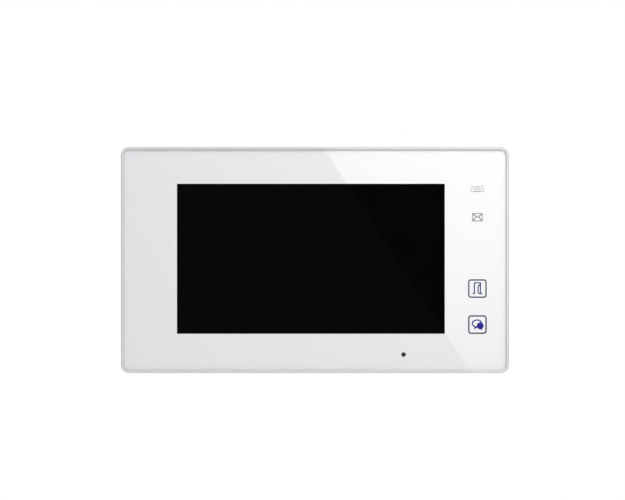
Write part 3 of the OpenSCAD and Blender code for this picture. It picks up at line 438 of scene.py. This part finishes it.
def boardPattern(tree):
    place = objectPlace(tree)
    tracks = addNode(tree, "ShaderNodeTexVoronoi",
        {"Vector": place, "Scale": boardLook["trackScale"]}, distance="MANHATTAN", feature="F2")
    across = mathNode(tree, "MULTIPLY", tracks.outputs["Distance"], boardLook["tracksEach"])
    line = mathNode(tree, "PINGPONG", across, 0.5)
    drawn = mathNode(tree, "GREATER_THAN", line, boardLook["trackFrom"])
    dots = addNode(tree, "ShaderNodeTexVoronoi",
        {"Vector": place, "Scale": boardLook["padScale"], "Randomness": 0.6})
    pad = mathNode(tree, "LESS_THAN", dots.outputs["Distance"], boardLook["padReach"])
    masked = inked(tree, drawn, boardLook, "mask", "track")
    return mixColor(tree, pad, masked, solidColor(boardLook["pad"]))


# an empty form printed on the rating label: a border, ruled rows and one solid block
labelForm = {
    "paper": (0.80, 0.80, 0.79),
    "ink": (0.16, 0.165, 0.18),
    "rowHeight": 3.6 * mm,
    "columnWidth": 11.0 * mm,
    "line": 0.13 * mm,
    "margin": 1.6 * mm,
}


def labelPattern(tree):
    low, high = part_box("rating_label")
    x, y, z = objectAxes(tree)
    middle = (low + high) / 2
    halfW = (high.x - low.x) / 2 - labelForm["margin"]
    halfH = (high.z - low.z) / 2 - labelForm["margin"]
    offX, offZ = apart(tree, x, middle.x), apart(tree, z, middle.z)
    inside = mathNode(tree, "MULTIPLY", mathNode(tree, "LESS_THAN", offX, halfW),
        mathNode(tree, "LESS_THAN", offZ, halfH))
    edge = mathNode(tree, "MAXIMUM",
        mathNode(tree, "GREATER_THAN", offX, halfW - 2 * labelForm["line"]),
        mathNode(tree, "GREATER_THAN", offZ, halfH - 2 * labelForm["line"]))
    rows = mathNode(tree, "PINGPONG", mathNode(tree, "SUBTRACT", z, low.z),
        labelForm["rowHeight"] / 2)
    columns = mathNode(tree, "PINGPONG", mathNode(tree, "SUBTRACT", x, low.x),
        labelForm["columnWidth"] / 2)
    ruled = mathNode(tree, "MAXIMUM", mathNode(tree, "LESS_THAN", rows, labelForm["line"]),
        mathNode(tree, "LESS_THAN", columns, labelForm["line"]))
    block = mathNode(tree, "MULTIPLY", mathNode(tree, "LESS_THAN", offX, halfW),
        mathNode(tree, "GREATER_THAN", mathNode(tree, "SUBTRACT", z, middle.z),
            halfH - labelForm["rowHeight"]))
    marks = mathNode(tree, "MAXIMUM", mathNode(tree, "MAXIMUM", edge, ruled), block)
    share = mathNode(tree, "MULTIPLY", marks, inside)
    return inked(tree, share, labelForm, "paper", "ink")


# the rim's silver, and painted shade: a darker strip along its outer edge, where the rounded rim
# turns from the light
rimLook = {
    "silver": (0.76, 0.76, 0.765),
    # painted shade: the darker silver of the outer edge strip
    "outer": (0.52, 0.52, 0.525),
    "band": 0.75 * mm,
    "fade": 0.4,  # share of the shaded strip where it is at its darkest
    "corner": 4.6 * mm,
    "deep": 0.6 * mm,  # how far back from the front the shaded strip goes
}


def rimShadePattern(tree):
    # depth from the outline of the frame, a rectangle with round corners
    low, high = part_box("front_frame")
    x, y, z = objectAxes(tree)
    middle, half = (low + high) / 2, (high - low) / 2
    past = [mathNode(tree, "SUBTRACT", apart(tree, axis, centre), reach - rimLook["corner"])
        for axis, centre, reach in ((x, middle.x, half.x), (z, middle.z, half.z))]
    outside = [mathNode(tree, "MAXIMUM", value, 0.0) for value in past]
    squares = [mathNode(tree, "POWER", value, 2.0) for value in outside]
    curved = mathNode(tree, "SQRT", mathNode(tree, "ADD", *squares))
    inside = mathNode(tree, "MINIMUM", mathNode(tree, "MAXIMUM", *past), 0.0)
    depth = mathNode(tree, "SUBTRACT", mathNode(tree, "ADD", curved, inside), rimLook["corner"])
    # painted shade on the rim's outer edge
    edge = ramp(tree, depth, -rimLook["band"], -rimLook["fade"] * rimLook["band"])
    front = mathNode(tree, "LESS_THAN", y, low.y + rimLook["deep"])
    share = mathNode(tree, "MULTIPLY", edge, front)
    return inked(tree, share, rimLook, "silver", "outer")


# finishes whose color is a pattern, otherwise as above
patterned = {
    # painted shade: the frame's darker edge color darkens its rounded edges, broken up in patches
    "silver_frame": (rimShadePattern, dict(rough=0.38, metal=0.18, grain=(5200, 1.2e-5), tone=(18, 0.04),
        dust=0.05, wear=(0.0003, 0.3, (0.60, 0.60, 0.605)), coat=0.2)),
    "white_print": (whiteShadedPattern, dict(rough=0.3, grain=(2500, 2e-6), tone=(10, 0.012))),
    "grey_print": (indicatorPattern, dict(rough=0.35, grain=(2500, 2e-6), tone=(300, 0.1))),
    "blue_print": (keyPattern, dict(rough=0.35, grain=(2500, 2e-6), tone=(300, 0.12))),
    "board_green": (boardPattern, dict(rough=0.3, grain=(1200, 1.2e-5), tone=(120, 0.2),
        coat=0.35)),
    "label_white": (labelPattern, dict(rough=0.42, grain=(2600, 8e-6), tone=(60, 0.04), dust=0.06)),
}


# clear glass: the front mirrors by its angle, and the rest goes straight through to the print
glassLook = {
    "ior": 1.5,
    "tint": (0.992, 0.995, 0.995),
    "polish": 0.004,
    "smudge": 0.012,
    "smudgeScale": 24.0,
}


def makeGlass(name):
    made, tree, out = startMaterial(name)
    smudge = useGroup(tree, dustGroup,
        Scale=glassLook["smudgeScale"], Amount=glassLook["smudge"]).outputs[0]
    mirror = addNode(tree, "ShaderNodeBsdfGlossy",
        {"Roughness": mathNode(tree, "ADD", smudge, glassLook["polish"])})
    clear = addNode(tree, "ShaderNodeBsdfTransparent", {"Color": solidColor(glassLook["tint"])})
    angle = addNode(tree, "ShaderNodeFresnel", {"IOR": glassLook["ior"]})
    front = addNode(tree, "ShaderNodeMixShader",
        {0: angle.outputs[0], 1: clear.outputs[0], 2: mirror.outputs[0]})
    facing = addNode(tree, "ShaderNodeNewGeometry")
    both = addNode(tree, "ShaderNodeMixShader",
        {0: facing.outputs["Backfacing"], 1: front.outputs[0], 2: clear.outputs[0]})
    tree.links.new(both.outputs[0], out.inputs["Surface"])
    return made


materials = {name: makeFinish(name, recipe) for name, recipe in finishes.items()}
for name, (pattern, recipe) in patterned.items():
    materials[name] = makeFinish(name, recipe, pattern)
materials["clear_glass"] = makeGlass("clear_glass")
assert set(slotOf.values()) <= set(materials), set(slotOf.values()) - set(materials)

for name, piece in nodes.items():
    piece.data.materials.clear()
    piece.data.materials.append(materials[slotOf[name]])
print(f"finishes: {len(materials)} materials on {len(nodes)} nodes")


# care of every mesh that is made from the frame's own
meshCare = {
    "weld": 2e-6,  # corners nearer than this are one
    "flat": math.radians(0.6),  # faces within this angle are merged
    "tipped": 1e-12,  # a triangle is against its polygon from this on
    "smooth": math.radians(32),
}


def finishPiece(piece, replaced):
    piece.data.materials.clear()
    piece.data.materials.append(materials[slotOf[replaced[0]]])
    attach(piece, bodyOf[replaced[0]])
    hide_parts(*replaced)


def meshPiece(name, mesh):
    mesh.name = name
    made = bpy.data.objects.new(name, mesh)
    scene.collection.objects.link(made)
    return made


def evaluated(source):
    # the object with its modifiers as a plain mesh
    graph = bpy.context.evaluated_depsgraph_get()
    return bpy.data.meshes.new_from_object(source.evaluated_get(graph), depsgraph=graph)


def meshFrom(shape, name):
    made = bpy.data.meshes.new(name)
    shape.to_mesh(made)
    shape.free()
    return made


def welded(node):
    shape = bmesh.new()
    shape.from_mesh(nodes[node].data)
    bmesh.ops.remove_doubles(shape, verts=shape.verts, dist=meshCare["weld"])
    return shape


def wholeFaces(node):
    shape = welded(node)
    bmesh.ops.dissolve_limit(shape, angle_limit=meshCare["flat"],
        verts=shape.verts, edges=shape.edges)
    return shape


def tippedArea(mesh):
    # area of the triangles that face against their own polygon
    mesh.calc_loop_triangles()
    total = 0.0
    for triangle in mesh.loop_triangles:
        a, b, c = (mesh.vertices[v].co for v in triangle.vertices)
        normal = (b - a).cross(c - a)
        if normal.dot(mesh.polygons[triangle.polygon_index].normal) < -meshCare["tipped"]:
            total += normal.length / 2
    return total


def bevelled(node, width, segments, angle, split):
    shape = wholeFaces(node)
    if split:
        bmesh.ops.triangulate(shape, faces=shape.faces, quad_method="BEAUTY", ngon_method="BEAUTY")
    rough = meshPiece(camel(node) + "Rough", meshFrom(shape, node))
    bevel = rough.modifiers.new("brokenEdge", "BEVEL")
    bevel.width = width
    bevel.segments = segments
    bevel.limit_method = "ANGLE"
    bevel.angle_limit = math.radians(angle)
    bevel.use_clamp_overlap = True
    bevel.miter_outer = "MITER_ARC"
    made = evaluated(rough)
    bpy.data.objects.remove(rough)
    return made


def softened(node, width, segments=2, angle=30):
    # of whole faces and faces cut in triangles, the one that bevels with the least tipped area
    tries = [bevelled(node, width, segments, angle, split) for split in (False, True)]
    made = min(tries, key=tippedArea)
    for face in made.polygons:
        face.use_smooth = True
    made.set_sharp_from_angle(angle=meshCare["smooth"])
    piece = meshPiece(camel(node), made)
    weigh = piece.modifiers.new("flatFaces", "WEIGHTED_NORMAL")
    weigh.keep_sharp = True
    finishPiece(piece, [node])


# width of the broken edge on each node, in millimetres
brokenEdges = {
    "front_frame": 0.12, "rear_cover": 0.22, "wall_bracket": 0.16,
    "terminal_plug": 0.15, "terminal_header": 0.15, "switch_housing": 0.12, "shield_can": 0.12,
    "processor": 0.1, "board_chips": 0.08, "board_connectors": 0.12, "main_board": 0.06,
    "chassis_plate": 0.08, "display_bezel": 0.05, "terminal_contacts": 0.05,
    **{f"switch_slider_{i}": 0.1 for i in (1, 2, 3, 4)},
    **{f"clamp_screw_{i}": 0.08 for i in (1, 2, 3, 4)},
    **{f"clamp_cage_{i}": 0.07 for i in (1, 2, 3, 4)},
}
for node, width in brokenEdges.items():
    softened(node, width * mm)
print(f"softened: {len(brokenEdges)} pieces")


# the cover glass: its outer edge is ground, and its back stands a hair clear of the print
glassEdge = {
    "grind": 0.15 * mm,
    "clear": 0.02 * mm,
    "backDeep": 0.01 * mm,  # corners this near the back belong to it
    "steep": 1.2,  # radians between two faces whose edge is ground
}


def groundGlass():
    shape = wholeFaces("cover_glass")
    back = max(v.co.y for v in shape.verts)
    for vert in shape.verts:
        if vert.co.y > back - glassEdge["backDeep"]:
            vert.co.y -= glassEdge["clear"]
    rims = [e for e in shape.edges if e.calc_face_angle(0) > glassEdge["steep"]]
    bmesh.ops.bevel(shape, geom=rims, offset=glassEdge["grind"], segments=2, profile=0.5,
        affect="EDGES", clamp_overlap=True)
    bmesh.ops.triangulate(shape, faces=shape.faces)
    finishPiece(meshPiece("coverGlass", meshFrom(shape, "coverGlass")), ["cover_glass"])


groundGlass()


def islands(node):
    # bounds of each loose part of a node, in the frame
    shape = welded(node)
    waiting = set(shape.verts)
    found = []
    while waiting:
        part, edge = set(), [waiting.pop()]
        while edge:
            vert = edge.pop()
            part.add(vert)
            for line in vert.link_edges:
                other = line.other_vert(vert)
                if other in waiting:
                    waiting.discard(other)
                    edge.append(other)
        spots = np.array([v.co for v in part])
        found.append((Vector(spots.min(0)), Vector(spots.max(0))))
    shape.free()
    return sorted(found, key=lambda b: (round(b[0].x, 5), round(b[0].z, 5)))


# one node tree puts every small part on its points
def makePlacer():
    tree, ins, outs = newGroup("placeOnPoints", "GeometryNodeTree",
        [("Points", "NodeSocketObject", None), ("Seed Piece", "NodeSocketObject", None),
         ("Turn", "NodeSocketFloat", 0.0), ("Turn Seed", "NodeSocketInt", 1),
         ("Finish", "NodeSocketMaterial", None)],
        [("Geometry", "NodeSocketGeometry")])
    spots = addNode(tree, "GeometryNodeObjectInfo", {"Object": ins.outputs["Points"]})
    seed = addNode(tree, "GeometryNodeObjectInfo", {"Object": ins.outputs["Seed Piece"]})
    size = addNode(tree, "GeometryNodeInputNamedAttribute", {"Name": "size"},
        data_type="FLOAT_VECTOR")
    least = mathNode(tree, "MULTIPLY", ins.outputs["Turn"], -1.0)
    turn = addNode(tree, "FunctionNodeRandomValue", {"Seed": ins.outputs["Turn Seed"]},
        data_type="FLOAT")
    floats = [i for i in turn.inputs if i.type == "VALUE" and i.name in ("Min", "Max")]
    tree.links.new(least, floats[0])
    tree.links.new(ins.outputs["Turn"], floats[1])
    value = [o for o in turn.outputs if o.type == "VALUE"][0]
    angles = addNode(tree, "ShaderNodeCombineXYZ", {"Y": value})
    placed = addNode(tree, "GeometryNodeInstanceOnPoints", {
        "Points": spots.outputs["Geometry"], "Instance": seed.outputs["Geometry"],
        "Rotation": angles.outputs[0], "Scale": size.outputs[0]})
    real = addNode(tree, "GeometryNodeRealizeInstances", {"Geometry": placed.outputs[0]})
    done = addNode(tree, "GeometryNodeSetMaterial",
        {"Geometry": real.outputs[0], "Material": ins.outputs["Finish"]})
    tree.links.new(done.outputs[0], outs.inputs[0])
    return tree


placer = makePlacer()


def lathe(profile, sides, wave=None):
    # closed shape round Y from (radius, y) pairs, first and last on the axis; wave changes a radius
    shape = bmesh.new()
    rings = []
    for radius, y in profile:
        if radius == 0:
            rings.append([shape.verts.new((0, y, 0))])
            continue
        ring = []
        for i in range(sides):
            angle = math.tau * i / sides
            reach = wave(radius, y, angle) if wave else radius
            ring.append(shape.verts.new((reach * math.cos(angle), y, reach * math.sin(angle))))
        rings.append(ring)
    for low, high in zip(rings, rings[1:]):
        for i in range(sides):
            j = (i + 1) % sides
            corners = [low[i % len(low)], low[j % len(low)],
                high[j % len(high)], high[i % len(high)]]
            shape.faces.new(list(dict.fromkeys(corners)))
    bmesh.ops.recalc_face_normals(shape, faces=shape.faces)
    return meshFrom(shape, "turned")


def cutFrom(mesh, tool):
    body, cutter = meshPiece("seedBody", mesh), meshPiece("seedCutter", tool)
    step = body.modifiers.new("cut", "BOOLEAN")
    step.operation = "DIFFERENCE"
    step.solver = "EXACT"
    step.object = cutter
    made = evaluated(body)
    bpy.data.objects.remove(body)
    bpy.data.objects.remove(cutter)
    return made


def joined(*meshes):
    shape = bmesh.new()
    for mesh in meshes:
        shape.from_mesh(mesh)
    return meshFrom(shape, "joined")


crossShape = {"above": 0.2, "narrow": 0.62}  # rise over the top, and width at the bottom


def crossTool(reach, slot, top, deep):
    # four-winged driver point, narrower at the bottom of the recess
    shape = bmesh.new()
    for y, k in ((top + crossShape["above"], 1.0), (top - deep, crossShape["narrow"])):
        ring = []
        for i in range(4):
            c, s = math.cos(math.pi / 2 * i), math.sin(math.pi / 2 * i)
            for x, z in ((reach * k, -slot * k), (reach * k, slot * k), (slot * k, slot * k)):
                ring.append(shape.verts.new((x * c - z * s, y, x * s + z * c)))
        shape.faces.new(ring)
    shape.verts.ensure_lookup_table()
    for i in range(12):
        j = (i + 1) % 12
        shape.faces.new([shape.verts[k] for k in (i, j, 12 + j, 12 + i)])
    bmesh.ops.recalc_face_normals(shape, faces=shape.faces)
    return meshFrom(shape, "crossTool")


# shares of the head's radius and height, and the thread in millimetres
screwShape = {
    "dome": [(0, 1), (0.35, 1), (0.62, 0.95), (0.82, 0.80), (0.95, 0.56), (1, 0.3), (1, 0.08),
        (0.96, 0), (0, 0)],
    "wing": 0.56,  # reach, width and depth of the cross recess
    "wingHalf": 0.11,
    "recess": 0.62,
    "headSides": 48,
    "shankSides": 28,
    "pitch": 0.8,
    "rings": 10,  # in each turn of the thread
    "threadDeep": 0.16,  # share of the shank's radius
    "root": 0.84,
    "overlap": 0.05,
    "pointRings": 4,  # at the end, each thinner than the one before by pointStep
    "pointFirst": 0.88,
    "pointStep": 0.1,
}


def screwSeed(head, headTall, shank, length, facing=1):
    # pan head with a cross recess over a threaded shank, in millimetres, its seat at y = 0
    look, r, s = screwShape, head / 2, shank / 2
    dome = lathe([(r * across, headTall * up) for across, up in look["dome"]], look["headSides"])
    cross = crossTool(r * look["wing"], r * look["wingHalf"], headTall, headTall * look["recess"])
    headMesh = cutFrom(dome, cross)
    pitch = look["pitch"]
    count = int(length / pitch * look["rings"])
    down = []
    for k in range(count):
        past = k - count + look["pointRings"]
        share = 1 if past < 0 else look["pointFirst"] - look["pointStep"] * past
        down.append((s * share, -length * k / count))

    def thread(radius, y, angle):
        around = (y / pitch - angle / math.tau) % 1.0
        return radius * (1 - look["threadDeep"] * abs(2 * around - 1)) if radius else 0

    overlap = look["overlap"]
    profile = [(0, overlap), (s * look["root"], overlap), *down, (0, -length)]
    shankMesh = lathe(profile, look["shankSides"], thread)
    made = joined(headMesh, shankMesh)
    made.transform(Matrix.Diagonal((mm, mm * facing, mm, 1)))
    if facing < 0:
        made.flip_normals()
    return made


def padSeed():
    # unit disc with ribs: radius 1 and height 1, its face outwards at y = 1
    profile = [(0, 1.0), (0.12, 1.0), (0.16, 0.86), (0.24, 0.86), (0.28, 1.0), (0.36, 1.0),
        (0.40, 0.86), (0.48, 0.86), (0.52, 1.0), (0.60, 1.0), (0.64, 0.86), (0.72, 0.86),
        (0.76, 1.0), (0.86, 1.0), (0.93, 0.9), (0.985, 0.62), (1.0, 0.4), (1.0, 0.0), (0, 0)]
    return lathe(profile, 64)


def prism(outline, low, high, edge=0.0):
    # closed slab between two heights along Y, its corners and rims broken by edge
    shape = bmesh.new()
    face = shape.faces.new([shape.verts.new((x, low, z)) for x, z in outline])
    grown = bmesh.ops.extrude_face_region(shape, geom=[face])
    for item in grown["geom"]:
        if isinstance(item, bmesh.types.BMVert):
            item.co.y = high
    if edge:
        bmesh.ops.bevel(shape, geom=shape.edges[:], offset=edge, segments=2, profile=0.5,
            affect="EDGES")
    bmesh.ops.recalc_face_normals(shape, faces=shape.faces)
    return meshFrom(shape, "prism")


def canSeed():
    # unit capacitor: seat with two cut corners, crimped sleeve, rolled shoulder and a scored top
    sleeve = [(0, 0.985), (0.62, 0.985), (0.70, 1.0), (0.80, 1.0), (0.89, 0.985), (0.93, 0.95),
        (0.94, 0.9), (0.94, 0.42), (0.91, 0.39), (0.89, 0.35), (0.91, 0.31), (0.94, 0.28),
        (0.94, 0.15), (0, 0.15)]
    can = cutFrom(lathe(sleeve, 56), crossTool(0.56, 0.035, 0.985, 0.012))
    seat = prism([(-1, -1), (1, -1), (1, 0.62), (0.62, 1), (-0.62, 1), (-1, 0.62)], 0, 0.2, 0.02)
    return joined(can, seat)


def coilSeed():
    # unit drum inductor: two flanges and a winding between them
    turns, low, tall = 9, 0.18, 0.64
    winding = []
    for i in range(turns):
        y = low + tall * i / turns
        winding += [(0.80, y), (0.86, y + 0.018), (0.885, y + 0.036), (0.86, y + 0.054)]
    profile = [(0, 0), (0.94, 0), (1, 0.03), (1, 0.14), (0.97, 0.17), *winding, (0.80, 0.83),
        (0.97, 0.83), (1, 0.86), (1, 0.97), (0.94, 1), (0.34, 1), (0.3, 0.96), (0, 0.96)]
    return lathe(profile, 56)


def ledSeed():
    # unit light package, its light face at y = 0 with a round pocket
    body = prism([(-1, -1), (1, -1), (1, 1), (-1, 1)], 0, 1, 0.06)
    return cutFrom(body, lathe([(0, -0.2), (0.62, -0.2), (0.5, 0.22), (0.2, 0.3), (0, 0.3)], 32))


def capsuleSeed():
    # unit microphone can, its felt-covered port at y = 0 inside a rolled rim
    profile = [(0, 0.10), (0.52, 0.10), (0.56, 0.06), (0.80, 0.06), (0.84, 0.02), (0.90, 0.0),
        (0.97, 0.02), (1.0, 0.07), (1.0, 0.90), (0.98, 0.95), (0.93, 1.0), (0.86, 1.0),
        (0.82, 0.96), (0.0, 0.96)]
    return lathe(profile, 64)


def placeSeeds(name, node, seed, spots, turn=0.0, turnSeed=1, smooth=35):
    # spots are pairs of a place and a size for each axis
    cloud = bpy.data.meshes.new(name + "Spots")
    cloud.from_pydata([place for place, size in spots], [], [])
    sizes = cloud.attributes.new("size", "FLOAT_VECTOR", "POINT")
    for i, (place, size) in enumerate(spots):
        sizes.data[i].vector = size
    points, model = meshPiece(name + "Spots", cloud), meshPiece(name + "Seed", seed)
    host = meshPiece(name + "Host", bpy.data.meshes.new(name + "Host"))
    step = host.modifiers.new("place", "NODES")
    values = {"Points": points, "Seed Piece": model, "Turn": turn, "Turn Seed": turnSeed,
        "Finish": materials[slotOf[node]]}
    sockets = {item.name: item.identifier for item in placer.interface.items_tree
        if item.item_type == "SOCKET" and item.in_out == "INPUT"}
    step.node_group = placer
    for label, value in values.items():
        step[sockets[label]] = value
    made = evaluated(host)
    for spare in (host, points, model):
        bpy.data.objects.remove(spare)
    made.shade_smooth()
    made.set_sharp_from_angle(angle=math.radians(smooth))
    finishPiece(meshPiece(name, made), [node])


# head and shank in millimetres: cadTall is the height of the frame's own head, and facing is the
# way that the heads look along Y
screwSizes = {
    "case_screws": dict(head=5.5, tall=1.95, cadTall=2.0, shank=2.6, facing=1, turnSeed=3),
    "chassis_screws": dict(head=4.9, tall=1.55, cadTall=1.6, shank=2.2, facing=1, turnSeed=5),
    "board_screws": dict(head=4.9, tall=1.55, cadTall=1.6, shank=2.5, facing=1, turnSeed=8),
    "speaker_screws": dict(head=3.95, tall=1.36, cadTall=1.4, shank=2.0, facing=-1, turnSeed=13),
}
screwTurn, shankShort = 0.78, 0.02  # radians either way, and millimetres inside the frame's own
for node, look in screwSizes.items():
    boxes, facing = islands(node), look["facing"]
    length = (boxes[0][1].y - boxes[0][0].y) / mm - look["cadTall"]
    seed = screwSeed(look["head"], look["tall"], look["shank"], length - shankShort, facing)
    cadTall = look["cadTall"] * mm
    spots = []
    for low, high in boxes:
        seat = high.y - cadTall if facing > 0 else low.y + cadTall
        spots.append((((low.x + high.x) / 2, seat, (low.z + high.z) / 2), (1, 1, 1)))
    placeSeeds(camel(node), node, seed, spots, screwTurn, look["turnSeed"])

# unit shapes that fill the box of each loose part, and how far each may turn in its place
filledBoxes = {
    "rubber_pads": dict(seed=padSeed, turn=0.5, turnSeed=2),
    "capacitors": dict(seed=canSeed, turn=0.0, turnSeed=1),
    "bus_inductors": dict(seed=coilSeed, turn=0.4, turnSeed=4),
    "key_leds": dict(seed=ledSeed, turn=0.0, turnSeed=1),
    "microphone": dict(seed=capsuleSeed, turn=0.0, turnSeed=1),
}
for node, look in filledBoxes.items():
    spots = []
    for low, high in islands(node):
        middle, half = (low + high) / 2, (high - low) / 2
        spots.append(((middle.x, low.y, middle.z), (half.x, 2 * half.y, half.z)))
    placeSeeds(camel(node), node, look["seed"](), spots, look["turn"], look["turnSeed"])
print(f"hardware placed: {len(screwSizes) + len(filledBoxes)} pieces")


# light from all round; mirrors see dark cloth behind the camera and a pale ceiling
airLook = {
    "soft": 0.765,
    "softColor": (0.985, 0.99, 1.0),
    "seen": 1.0,  # what the camera itself sees
    "clothFrom": -0.985,  # Y of the direction where the cloth begins to fade, and where it is gone
    "clothTo": -0.86,
    "mirrored": 0.75,  # what mirrors see at the level of the frame, and what the ceiling adds
    "ceiling": 0.35,
}


def makeAir():
    world = bpy.data.worlds.new("studioAir")
    scene.world = world
    world.use_nodes = True
    tree = world.node_tree
    tree.nodes.clear()
    out = addNode(tree, "ShaderNodeOutputWorld")
    path = addNode(tree, "ShaderNodeLightPath")
    way = addNode(tree, "ShaderNodeTexCoord").outputs["Generated"]
    axes = addNode(tree, "ShaderNodeSeparateXYZ", {0: way})
    cloth = ramp(tree, axes.outputs["Y"], airLook["clothFrom"], airLook["clothTo"])
    ceiling = scaled(tree, axes.outputs["Z"], airLook["ceiling"], airLook["mirrored"])
    mirrored = mathNode(tree, "MULTIPLY", cloth, ceiling)
    glossy = addNode(tree, "ShaderNodeBackground", {"Color": (1, 1, 1, 1), "Strength": mirrored})
    soft = addNode(tree, "ShaderNodeBackground",
        {"Color": solidColor(airLook["softColor"]), "Strength": airLook["soft"]})
    plain = addNode(tree, "ShaderNodeBackground",
        {"Color": (1, 1, 1, 1), "Strength": airLook["seen"]})
    lit = addNode(tree, "ShaderNodeMixShader",
        {0: path.outputs["Is Glossy Ray"], 1: soft.outputs[0], 2: glossy.outputs[0]})
    seen = addNode(tree, "ShaderNodeMixShader",
        {0: path.outputs["Is Camera Ray"], 1: lit.outputs[0], 2: plain.outputs[0]})
    tree.links.new(seen.outputs[0], out.inputs["Surface"])


# two square panels aimed at the middle of the frame
panelLights = {
    "keyPanel": dict(place=(0.25, -0.42, 0.37), power=1.3, size=0.22),
    "backPanel": dict(place=(-0.75, 0.95, 0.85), power=5.0, size=0.6),
}
# a small light whose beam is cut along one straight edge across the face
edgeLight = {
    "place": (0.30, -1.10, 0.42),
    "power": 8.0,
    "aim": (0.06, -0.02, 0.05),  # from the middle of the frame
    "spread": 16,  # degrees
    "radius": 0.6 * mm,
    "top": (5.8 * mm, 63.8 * mm),  # two places of the edge on the face, in X and Z
    "low": (67.3 * mm, -30.2 * mm),
}


def makeLight(name, kind, place, aim, power, **settings):
    data = bpy.data.lights.new(name, kind)
    data.energy = power
    for key, value in settings.items():
        setattr(data, key, value)
    made = bpy.data.objects.new(name, data)
    made.location = place
    made.rotation_euler = (Vector(aim) - Vector(place)).to_track_quat("-Z", "Y").to_euler()
    made.visible_camera = False
    scene.collection.objects.link(made)
    return made


def makeLights():
    for name, panel in panelLights.items():
        makeLight(name, "AREA", panel["place"], frameMiddle, panel["power"],
            shape="SQUARE", size=panel["size"])
    place = Vector(edgeLight["place"])
    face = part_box("print_film")[0].y
    top, low = (Vector((x, face, z)) for x, z in (edgeLight["top"], edgeLight["low"]))
    cutter = makeLight("edgeLight", "SPOT", place, frameMiddle + Vector(edgeLight["aim"]),
        edgeLight["power"], spot_size=math.radians(edgeLight["spread"]), spot_blend=1.0,
        shadow_soft_size=edgeLight["radius"])
    bpy.context.view_layer.update()
    normal = (top - place).cross(low - place).normalized()
    local = cutter.matrix_world.to_quaternion().inverted() @ normal
    data = cutter.data
    data.use_nodes = True
    tree = data.node_tree
    tree.nodes.clear()
    out = addNode(tree, "ShaderNodeOutputLight")
    way = addNode(tree, "ShaderNodeTexCoord").outputs["Normal"]
    side = addNode(tree, "ShaderNodeVectorMath", {0: way, 1: local}, operation="DOT_PRODUCT")
    cut = mathNode(tree, "LESS_THAN", side.outputs["Value"], 0.0)
    shine = addNode(tree, "ShaderNodeEmission", {"Strength": cut})
    tree.links.new(shine.outputs[0], out.inputs["Surface"])


def plainMesh(name, points, faces):
    mesh = bpy.data.meshes.new(name)
    mesh.from_pydata([tuple(p) for p in points], [], faces)
    return meshPiece(name, mesh)


# the floor fades out before its edge
floorLook = {
    "below": 0.26,  # from the middle of the frame down to the floor
    "radius": 1.6,
    "sides": 96,
    "fadeFrom": 0.25,  # from the middle of the floor outwards
    "fadeTo": 1.35,
    "paint": dict(color=(0.93, 0.93, 0.93), rough=0.7, grain=(300, 2e-5), tone=(6, 0.01)),
}


def makeFloor():
    z, radius, sides = frameMiddle.z - floorLook["below"], floorLook["radius"], floorLook["sides"]
    angles = [math.tau * i / sides for i in range(sides)]
    ring = [(radius * math.cos(a), radius * math.sin(a), z) for a in angles]
    floor = plainMesh("floor", ring, [tuple(range(sides))])
    paint = makeFinish("pale_floor", floorLook["paint"])
    tree = paint.node_tree
    place = objectPlace(tree)
    flat = addNode(tree, "ShaderNodeVectorMath", {0: place, 1: (1, 1, 0)}, operation="MULTIPLY")
    away = addNode(tree, "ShaderNodeVectorMath", {0: flat.outputs[0]}, operation="LENGTH")
    fade = ramp(tree, away.outputs["Value"], floorLook["fadeFrom"], floorLook["fadeTo"],
        first=1.0, last=0.0, easing="SMOOTHERSTEP")
    shader = next(n for n in tree.nodes if n.type == "BSDF_PRINCIPLED")
    tree.links.new(fade, shader.inputs["Alpha"])
    floor.data.materials.append(paint)


# a dim card behind the camera, seen only as a mirror image in the left of the screen
sheenCard = {
    "glow": 0.045,
    "behind": 0.25,
    "up": 0.09,  # its image on the face, from the middle of the frame
    "down": -0.09,
    "left": -0.14,
}


def makeSheen():
    distance = frameLow.y - camera.location.y
    cardY = camera.location.y - sheenCard["behind"]
    reach = (frameLow.y - cardY) / distance

    def mirrored(x, z):
        return (x + (x - camera.location.x) * reach, cardY, z + (z - camera.location.z) * reach)

    # its right side follows the edge of the cut light
    (x0, z0), (x1, z1) = edgeLight["top"], edgeLight["low"]
    slope = (x1 - x0) / (z1 - z0)
    up, down, left = sheenCard["up"], sheenCard["down"], sheenCard["left"]
    corners = [mirrored(left, down), mirrored(x0 + (down - z0) * slope, down),
        mirrored(x0 + (up - z0) * slope, up), mirrored(left, up)]
    card = plainMesh("sheenCard", corners, [(0, 1, 2, 3)])
    made, tree, out = startMaterial("dim_card")
    glow = addNode(tree, "ShaderNodeEmission", {"Strength": sheenCard["glow"]})
    tree.links.new(glow.outputs[0], out.inputs["Surface"])
    card.data.materials.append(made)
    card.visible_camera = card.visible_diffuse = card.visible_shadow = False
    card.visible_transmission = False


makeAir()
makeLights()
makeFloor()
makeSheen()
scene.view_settings.view_transform = "Standard"
scene.view_settings.look = "None"
print("studio set")
